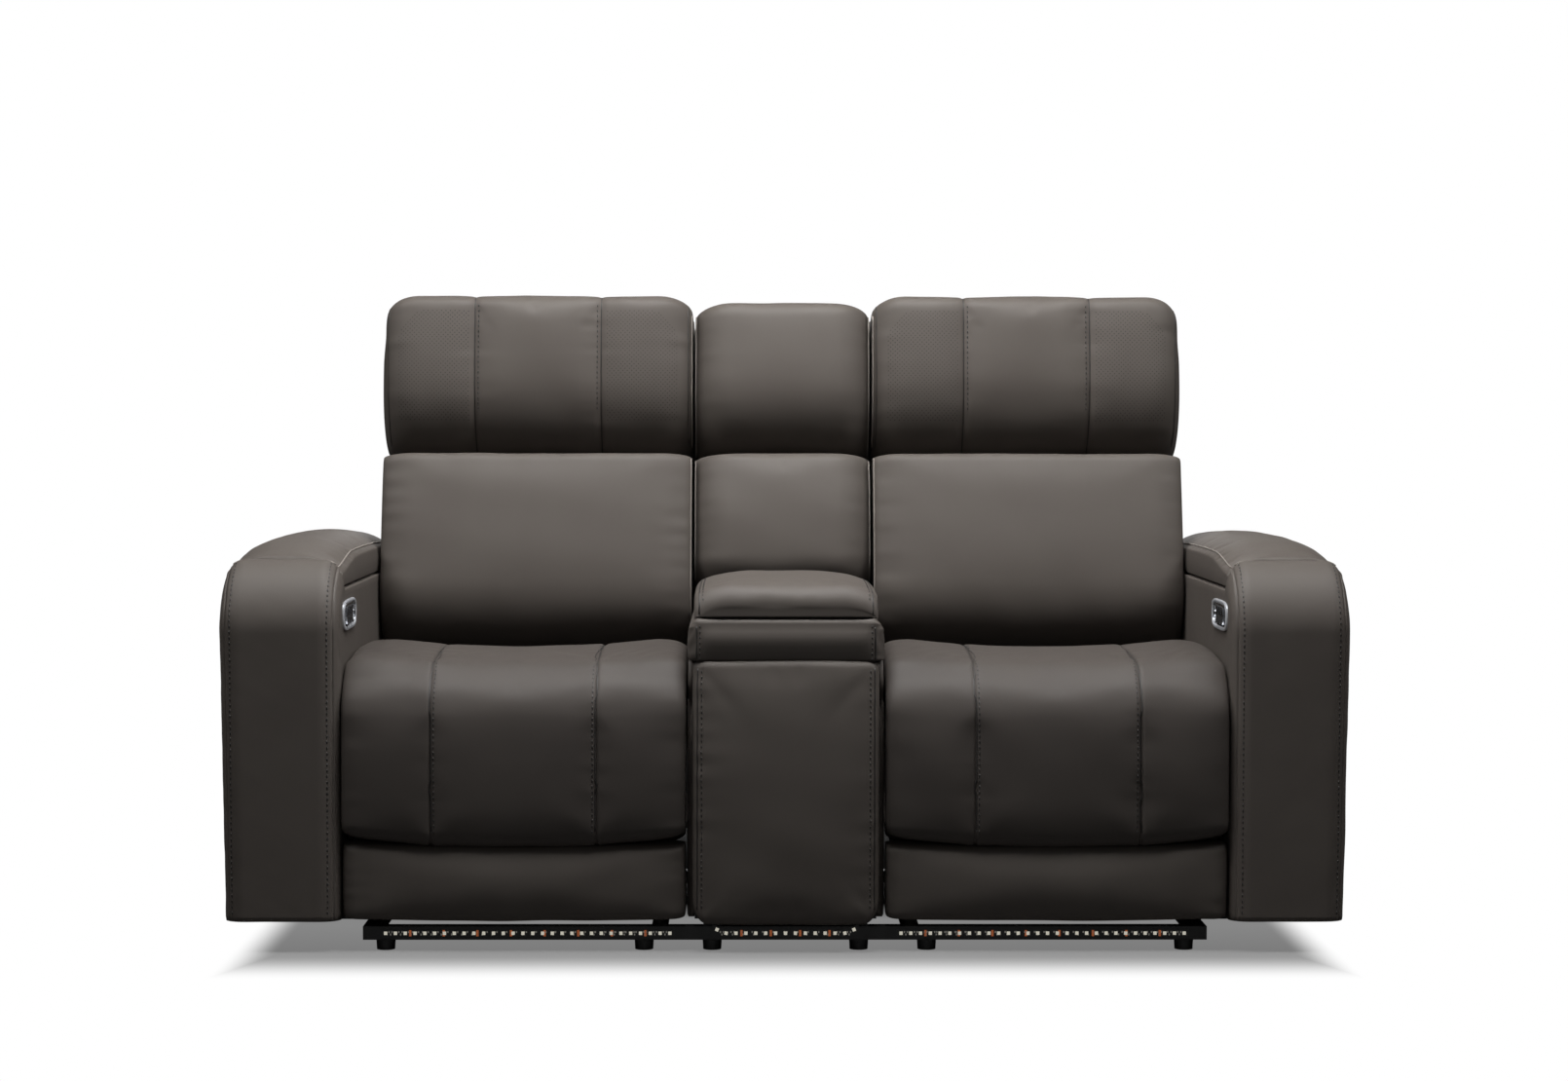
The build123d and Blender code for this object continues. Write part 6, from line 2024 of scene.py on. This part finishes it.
@dataclass(frozen=True)
class Collar:
    """The padded band round the console's top: a front bar and two narrow sides."""

    half: float = 166.0
    inner: float = 155.3
    front: float = -466.0
    box_front: float = -435.34
    rear: float = 114.96
    low: float = 494.8
    high: float = 553.0
    side_low: float = 425.0
    corner: float = 22.0
    roll: float = 11.0
    front_rise: float = 14.0
    front_reach: float = 40.0
    corner_fall: float = 9.0
    gather: float = 1.7
    belly: float = 4.0
    ruffle: float = 1.2
    skirt_low: float = 54.0
    side_count: int = 60
    corner_count: int = 10

    def section(self, width: float, low: float, top: float) -> Array:
        """The band's section: how far out from the box, and how high, for a width."""
        roll = min(self.roll, width * 0.8)
        points = [(0.0, low), (width * 0.4, low), (width - 5, low)]
        turn = np.linspace(0.3, 1.57, 4)
        points += [(width - 5 + 5 * math.sin(t), low + 5 - 5 * math.cos(t)) for t in turn]
        tall = top - low - roll - 8
        parts = np.linspace(0, 1, 7)[1:]
        points += [(width + 1.6 * math.sin(math.pi * part), low + 6 + tall * part) for part in parts]
        turn = np.linspace(0.15, 1.57, 8)
        points += [(width - roll + roll * math.cos(t), top - roll + roll * math.sin(t)) for t in turn]
        points += [(width * 0.2, top), (0.0, top), (0.0, (low + top) / 2)]
        return np.array(points)

    def build(self, name: str, finish: Finish) -> Thing:
        """Builds the band as one object of a swept bar and two lower side strips."""
        rings = []
        for outer, inner in self.walk():
            width = float(np.linalg.norm(outer - inner))
            way = (outer - inner) / width
            side, depth = abs(outer[0]), outer[1] - self.front
            rise = self.front_rise * ease_one((self.front_reach - depth) / self.front_reach)
            rise -= self.corner_fall * ease_one((side - 148.0) / 18.0) * rise / self.front_rise
            section = self.section(width, self.low, self.high + rise)
            corner = math.exp(-(((side - 158.0) / 8.0) ** 2)) * math.exp(-(((depth - 12) / 26.0) ** 2))
            gather = self.gather * np.sin(section[:, 1] * 0.62 + np.sign(outer[0])) * corner
            belly = self.belly * math.exp(-((depth / 9.0) ** 2)) * ease_one((152 - side) / 24)
            high = np.clip((section[:, 1] - self.low) / (self.high - self.low), 0, 1)
            swell = (gather + belly * np.sin(math.pi * high**1.5)) * (section[:, 0] > width * 0.5)
            xy = inner[None, :] + way[None, :] * (section[:, :1] + swell[:, None])
            rings.append(np.column_stack([xy, section[:, 1]]))
        band = loft(name, np.array(rings), finish)
        parts = [band]
        for sign in (-1, 1):
            rows = []
            for y in np.linspace(self.box_front + 0.4, self.rear, 80):
                ruffle = self.ruffle * math.sin(y * 0.33) * math.exp(-(y - self.box_front) / 60.0)
                out = self.half - 1.5 + ruffle
                low = self.side_low
                section = [(self.inner, low), (out - 3, low), (out, low + 4), (out + 0.8, low + 35)]
                section += [(out, self.low - 2), (self.inner, self.low - 0.5)]
                rows.append([(sign * x, y, z) for x, z in section])
            parts.append(loft(f"{name}_{sign}", np.array(rows), finish))
        return joined(name, parts)

    def skirt(self, name: str, sign: int, finish: Finish) -> Thing:
        """Builds the leather side of the console box, below the band.

        Args:
            name: The object's name.
            sign: -1 for the left side, 1 for the right one.
            finish: The leather.

        Returns:
            The side.
        """
        rings = []
        for y in np.linspace(self.box_front + 1.0, self.rear, 60):
            edge = min(y - self.box_front - 1.0, 10.0) / 10.0
            out = self.inner + 3.0 + 9.0 * math.sqrt(1 - (1 - edge) ** 2)
            rise = 8.0 * (1 - edge) ** 2
            low = self.skirt_low + rise
            section = [(self.inner + 0.2, low), (out - 2, low), (out, low + 4.0), (out + 0.9, 180.0)]
            section += [(out + 0.9, 300.0), (out, self.side_low - 1.5)]
            section.append((self.inner + 0.2, self.side_low - 1.0))
            rings.append([(sign * x, y, z) for x, z in section])
        return loft(name, np.array(rings), finish)

    def walk(self) -> list[tuple[Array, Array]]:
        """Stations round the console, the corner's last one moved in: the outer and inner point of each."""
        stations = []
        for y in np.linspace(self.rear, self.front + self.front_reach, self.side_count):
            stations.append((-self.half, y, -self.inner, max(y, self.box_front)))
        for t in np.linspace(0, math.pi / 2, self.corner_count):
            x = -self.half + self.corner - self.corner * math.cos(t)
            y = self.front + self.corner - self.corner * math.sin(t)
            stations.append((x, y, -self.inner, self.box_front))
        stations += [(x, self.front, x, self.box_front) for x in np.linspace(-self.half + 26, 0, 20)]
        last = self.side_count + self.corner_count - 1
        stations[last] = (-self.half + self.corner, self.front, -self.inner + 2, self.box_front)
        whole = stations + [(-x, y, -a, b) for x, y, a, b in reversed(stations[:-1])]
        return [(np.array([x, y]), np.array([a, b])) for x, y, a, b in whole]


@dataclass(frozen=True)
class Bezel:
    """The switch panel: a bright rim with bowed sides round a gloss black face."""

    y: float = -335.04
    z: float = 566.0
    length: float = 160.0
    height: float = 52.0
    rim_width: float = 6.5
    back_x: float = 755.0
    proud: float = 4.0
    bow: float = 4.5
    count: int = 64

    def outline(self, shrink: float) -> Array:
        """The rim's outline, (y, z), drawn in by a distance."""
        half_y, half_z = self.length / 2 - shrink, self.height / 2 - shrink
        turn = np.linspace(0, 2 * math.pi, self.count, endpoint=False)
        c, s = np.cos(turn), np.sin(turn)
        y = half_y * np.sign(c) * np.abs(c) ** (2 / self.bow)
        z = half_z * np.sign(s) * np.abs(s) ** (2 / self.bow)
        return np.column_stack([self.y + y, self.z + z])

    def rim(self, name: str, side: Side, finish: Finish) -> Thing:
        """Builds the rim as a closed ring of rounded section."""
        width, proud, count = self.rim_width, self.proud, self.count
        profile = [(0, 0.0), (0.0, proud - 1.4), (1.0, proud - 0.3), (2.4, proud), (width - 2.2, proud),
                   (width - 0.8, proud - 0.5), (width, proud - 1.6), (width, 0.0)]
        grid = self.rows(profile, side)
        faces = list(grid_faces(len(profile), count, wrap=True))
        start = (len(profile) - 1) * count
        faces += [(start + j, start + (j + 1) % count, (j + 1) % count, j) for j in range(count)]
        return flat_parts(make_mesh(name, grid.reshape(-1, 3), faces, finish))

    def plate(self, name: str, side: Side, finish: Finish) -> Thing:
        """Builds the face plate inside the rim."""
        inside = self.rim_width - 0.5
        rings = self.rows([(inside, 0.2), (inside, 1.8), (inside + 0.8, 2.2)], side)
        return flat_parts(loft(name, rings, finish))

    def rows(self, profile: Sequence[tuple[float, float]], side: Side) -> Array:
        """Rings of points for a profile of (drawn in by, standing out by)."""
        rings = []
        for shrink, rise in profile:
            rings.append(at_x(side.value * (self.back_x - rise), self.outline(shrink)))
        return np.array(rings)


@dataclass(frozen=True)
class LampTape:
    """The lamp tape under the front: a flexible circuit with chips every 16.7 mm."""

    face_y: float = -443.2
    z: float = 28.5
    pitch: float = 1000.0 / 60.0
    seat_count: int = 30
    console_count: int = 15
    seat_mid: float = 438.5

    def build(self, runs: Runs, finishes: Finishes) -> dict[str, Thing]:
        """Builds the tape, its chips, resistors and copper pads."""
        tapes, chips, small, copper = [], [], [], []
        up = np.array([0.0, -1.0, 0.0])
        seat, console = self.seat_count, self.console_count
        for centre, count in ((-self.seat_mid, seat), (0.0, console), (self.seat_mid, seat)):
            length = (count - 1) * self.pitch
            half = length / 2 + 8
            xs = np.linspace(centre - half, centre + half, 60)
            rise = (9.0 if count == console else 0.0) * ease((np.abs(xs - centre) - half + 22) / 22.0)
            edge = ((0.6, -6), (-0.3, -6), (-0.3, 6), (0.6, 6))
            rings = [[(x, self.face_y + dy, z + dz) for dy, dz in edge] for x, z in zip(xs, self.z + rise)]
            tapes.append(flat_parts(loft(f"tape_{centre:.0f}", np.array(rings), finishes.tape)))
            along = np.linspace(centre - length / 2, centre + length / 2, 60)
            heights = self.z + np.interp(along, xs, rise)
            lamps = np.column_stack([along, np.full(60, self.face_y - 0.9), heights])
            chips.append((lamps, np.tile(up, (60, 1))))
            line = np.array([[centre + sign * length / 2, self.face_y - 0.9, self.z] for sign in (-1, 1)])
            for off, lift in ((-2.6, 2.0), (2.6, 2.0), (0.0, -2.2)):
                move = np.array([[sign * self.pitch / 2 + off, 0.5, lift] for sign in (1, -1)])
                small.append((line + move, np.tile(up, (2, 1))))
            reach = length / 2 - self.pitch * 2.5
            marks = np.array([[centre + sign * reach, self.face_y - 0.5, self.z] for sign in (-1, 1)])
            copper.append((marks, np.tile(up, (2, 1))))
        made = {"tape": flat_parts(joined("lamp_tape", tapes))}
        for part, name, spots, pitch, size, finish in (
            ("chips", "lamp_chips", chips, self.pitch, (5.6, 5.6, 1.5), finishes.lamp),
            ("resistors", "lamp_resistors", small, self.pitch, (2.2, 3.0, 0.7), finishes.resistor),
            ("copper", "lamp_copper_pads", copper, self.pitch * 3, (4.0, 10.4, 0.5), finishes.copper),
        ):
            made[part] = runs.lay(name, RunKind.BLOCK, spots, pitch, size, finish)
        return made


# ---- the photograph's room
def worked(tree: Tree, operation: str, *values: Socket) -> Socket:
    """The result of one operation on values."""
    return add_node(tree, "ShaderNodeMath", dict(enumerate(values)), operation=operation).outputs[0]


@dataclass(frozen=True)
class SoftBox:
    """A rectangular soft light that the camera doesn't see, in metres and watts."""

    name: str
    place: tuple[float, float, float]
    target: tuple[float, float, float]
    size: tuple[float, float]
    power: float

    def hang(self) -> None:
        """Hangs the light."""
        data = bpy.data.lights.new(self.name, "AREA")
        data.shape, data.energy = "RECTANGLE", self.power
        data.size, data.size_y = self.size
        lamp = linked(self.name, data)
        lamp.location = self.place
        way = Vector(self.target) - Vector(self.place)
        lamp.rotation_euler = way.to_track_quat("-Z", "Y").to_euler()
        lamp.visible_camera = False


@dataclass(frozen=True)
class Studio:
    """A white room with a broad soft light overhead and the photograph's camera."""

    eye: tuple[float, float, float] = (-64.0, -5671.1, 912.6)
    yaw: float = 0.661
    pitch: float = 2.351
    roll: float = -0.098
    lens: float = 70.89
    boxes: tuple[SoftBox, ...] = (
        SoftBox("overhead", (0.0, -0.8, 2.9), (0.0, -0.1, 0.6), (1.4, 1.0), 110.0),
        SoftBox("side_box", (-2.1, -0.7, 2.7), (-0.3, -0.1, 0.7), (1.2, 1.2), 46.0),
        SoftBox("side_box", (2.1, -0.7, 2.7), (0.3, -0.1, 0.7), (1.2, 1.2), 46.0),
        SoftBox("front_fill", (0.0, -5.5, 1.6), (0.0, 0.0, 0.5), (2.4, 1.6), 17.0),
        SoftBox("rear_fill", (0.0, 4.5, 2.0), (0.0, 0.3, 0.5), (2.4, 1.6), 34.0),
    )

    def camera(self) -> None:
        """Sets the camera where the photograph was taken."""
        yaw, pitch, roll = (math.radians(a) for a in (self.yaw, self.pitch, self.roll))
        forward = Vector((math.sin(yaw) * math.cos(pitch), math.cos(yaw) * math.cos(pitch), -math.sin(pitch)))
        right = Vector((math.cos(yaw), -math.sin(yaw), 0.0))
        up = right.cross(forward)
        across = right * math.cos(roll) - up * math.sin(roll)
        rise = right * math.sin(roll) + up * math.cos(roll)
        data = bpy.data.cameras.new("camera")
        data.lens, data.sensor_width, data.clip_end = self.lens, 36.0, 100.0
        eye = linked("camera", data)
        turn = Matrix((across, rise, -forward)).transposed().to_4x4()
        eye.matrix_world = Matrix.Translation(Vector(self.eye) * MM) @ turn
        bpy.context.scene.camera = eye

    def world(self) -> None:
        """Fills the room with even light, white to the camera."""
        world = bpy.data.worlds.new("white_room")
        bpy.context.scene.world = world
        world.use_nodes = True
        tree = world.node_tree
        tree.nodes.clear()
        ray = add_node(tree, "ShaderNodeLightPath")
        dim, white = (
            add_node(tree, "ShaderNodeBackground", {"Color": linear("#FFFFFF"), "Strength": strength})
            for strength in (0.02, 1.0)
        )
        shares = {0: ray.outputs["Is Camera Ray"], 1: dim.outputs[0], 2: white.outputs[0]}
        mixed = add_node(tree, "ShaderNodeMixShader", shares)
        add_node(tree, "ShaderNodeOutputWorld", {"Surface": mixed.outputs[0]})

    def floor(self) -> None:
        """Lays the white floor, which throws back little light from below, with a painted shadow under and
        just in front of the object.
        """
        made, tree, place = new_material("white_paper_floor")
        ray = add_node(tree, "ShaderNodeLightPath")
        seen = worked(tree, "MAXIMUM", ray.outputs["Is Camera Ray"], ray.outputs["Is Transmission Ray"])
        # The floor's dark grey keeps bounced light low, and where the camera sees it in the shadow zone it is
        # painted shade on the white paper.
        dull = add_node(tree, "ShaderNodeBsdfDiffuse", {"Color": linear("#4A4A4A")})
        axes = add_node(tree, "ShaderNodeSeparateXYZ", {0: place})
        depth = axes.outputs[1]
        # By position the floor turns white at the sides and ahead, which sets the edges of the painted
        # shadow.
        aside = ranged(tree, worked(tree, "ABSOLUTE", axes.outputs[0]), 0.86, 0.94, soft=True)
        ahead = ranged(tree, depth, -0.5, -0.72, soft=True)
        behind = ranged(tree, depth, 0.3, 0.62, soft=True)
        # Seen from the front, the floor behind the seat shows only through its gaps; there it keeps its dark
        # grey colour as painted shade, and seen from behind it turns white past the footprint.
        incoming = add_node(tree, "ShaderNodeNewGeometry").outputs["Incoming"]
        toward = add_node(tree, "ShaderNodeSeparateXYZ", {0: incoming})
        rear = worked(tree, "MULTIPLY", behind, ranged(tree, toward.outputs[1], -0.3, 0.1))
        away = worked(tree, "MAXIMUM", worked(tree, "MAXIMUM", aside, ahead), rear)
        # A faint grey glow, fixed by position, fills the painted shadow under and just in front of the
        # object.
        shade_glow_level = ranged(tree, depth, -0.46, -0.2, 0.2, 0.24)
        strength = worked(tree, "MULTIPLY", shade_glow_level, ranged(tree, depth, 0.05, -0.12))
        shade = add_node(tree, "ShaderNodeEmission", {"Color": linear("#FFFFFF"), "Strength": strength})
        under = add_node(tree, "ShaderNodeAddShader", {0: shade.outputs[0], 1: dull.outputs[0]})
        glow = add_node(tree, "ShaderNodeEmission", {"Color": linear("#FFFFFF")})
        paper = add_node(tree, "ShaderNodeMixShader", {0: away, 1: under.outputs[0], 2: glow.outputs[0]})
        mixed = add_node(tree, "ShaderNodeMixShader", {0: seen, 1: dull.outputs[0], 2: paper.outputs[0]})
        add_node(tree, "ShaderNodeOutputMaterial", {"Surface": mixed.outputs[0]})
        mesh = bpy.data.meshes.new("floor")
        mesh.from_pydata([(-40, -20, 0), (40, -20, 0), (40, 60, 0), (-40, 60, 0)], [], [(0, 1, 2, 3)])
        mesh.materials.append(made)
        linked("floor", mesh)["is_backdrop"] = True

    def build(self) -> None:
        """Sets the whole room."""
        scene = bpy.context.scene
        scene.view_settings.view_transform = "Standard"
        self.camera()
        self.world()
        self.floor()
        for box in self.boxes:
            box.hang()


def main() -> None:
    """Builds the dressed recliner and its room."""
    logging.basicConfig(level=logging.INFO, format="%(message)s")
    recliner = Recliner()
    recliner.build()
    Studio().build()


if __name__ == "__main__":
    main()
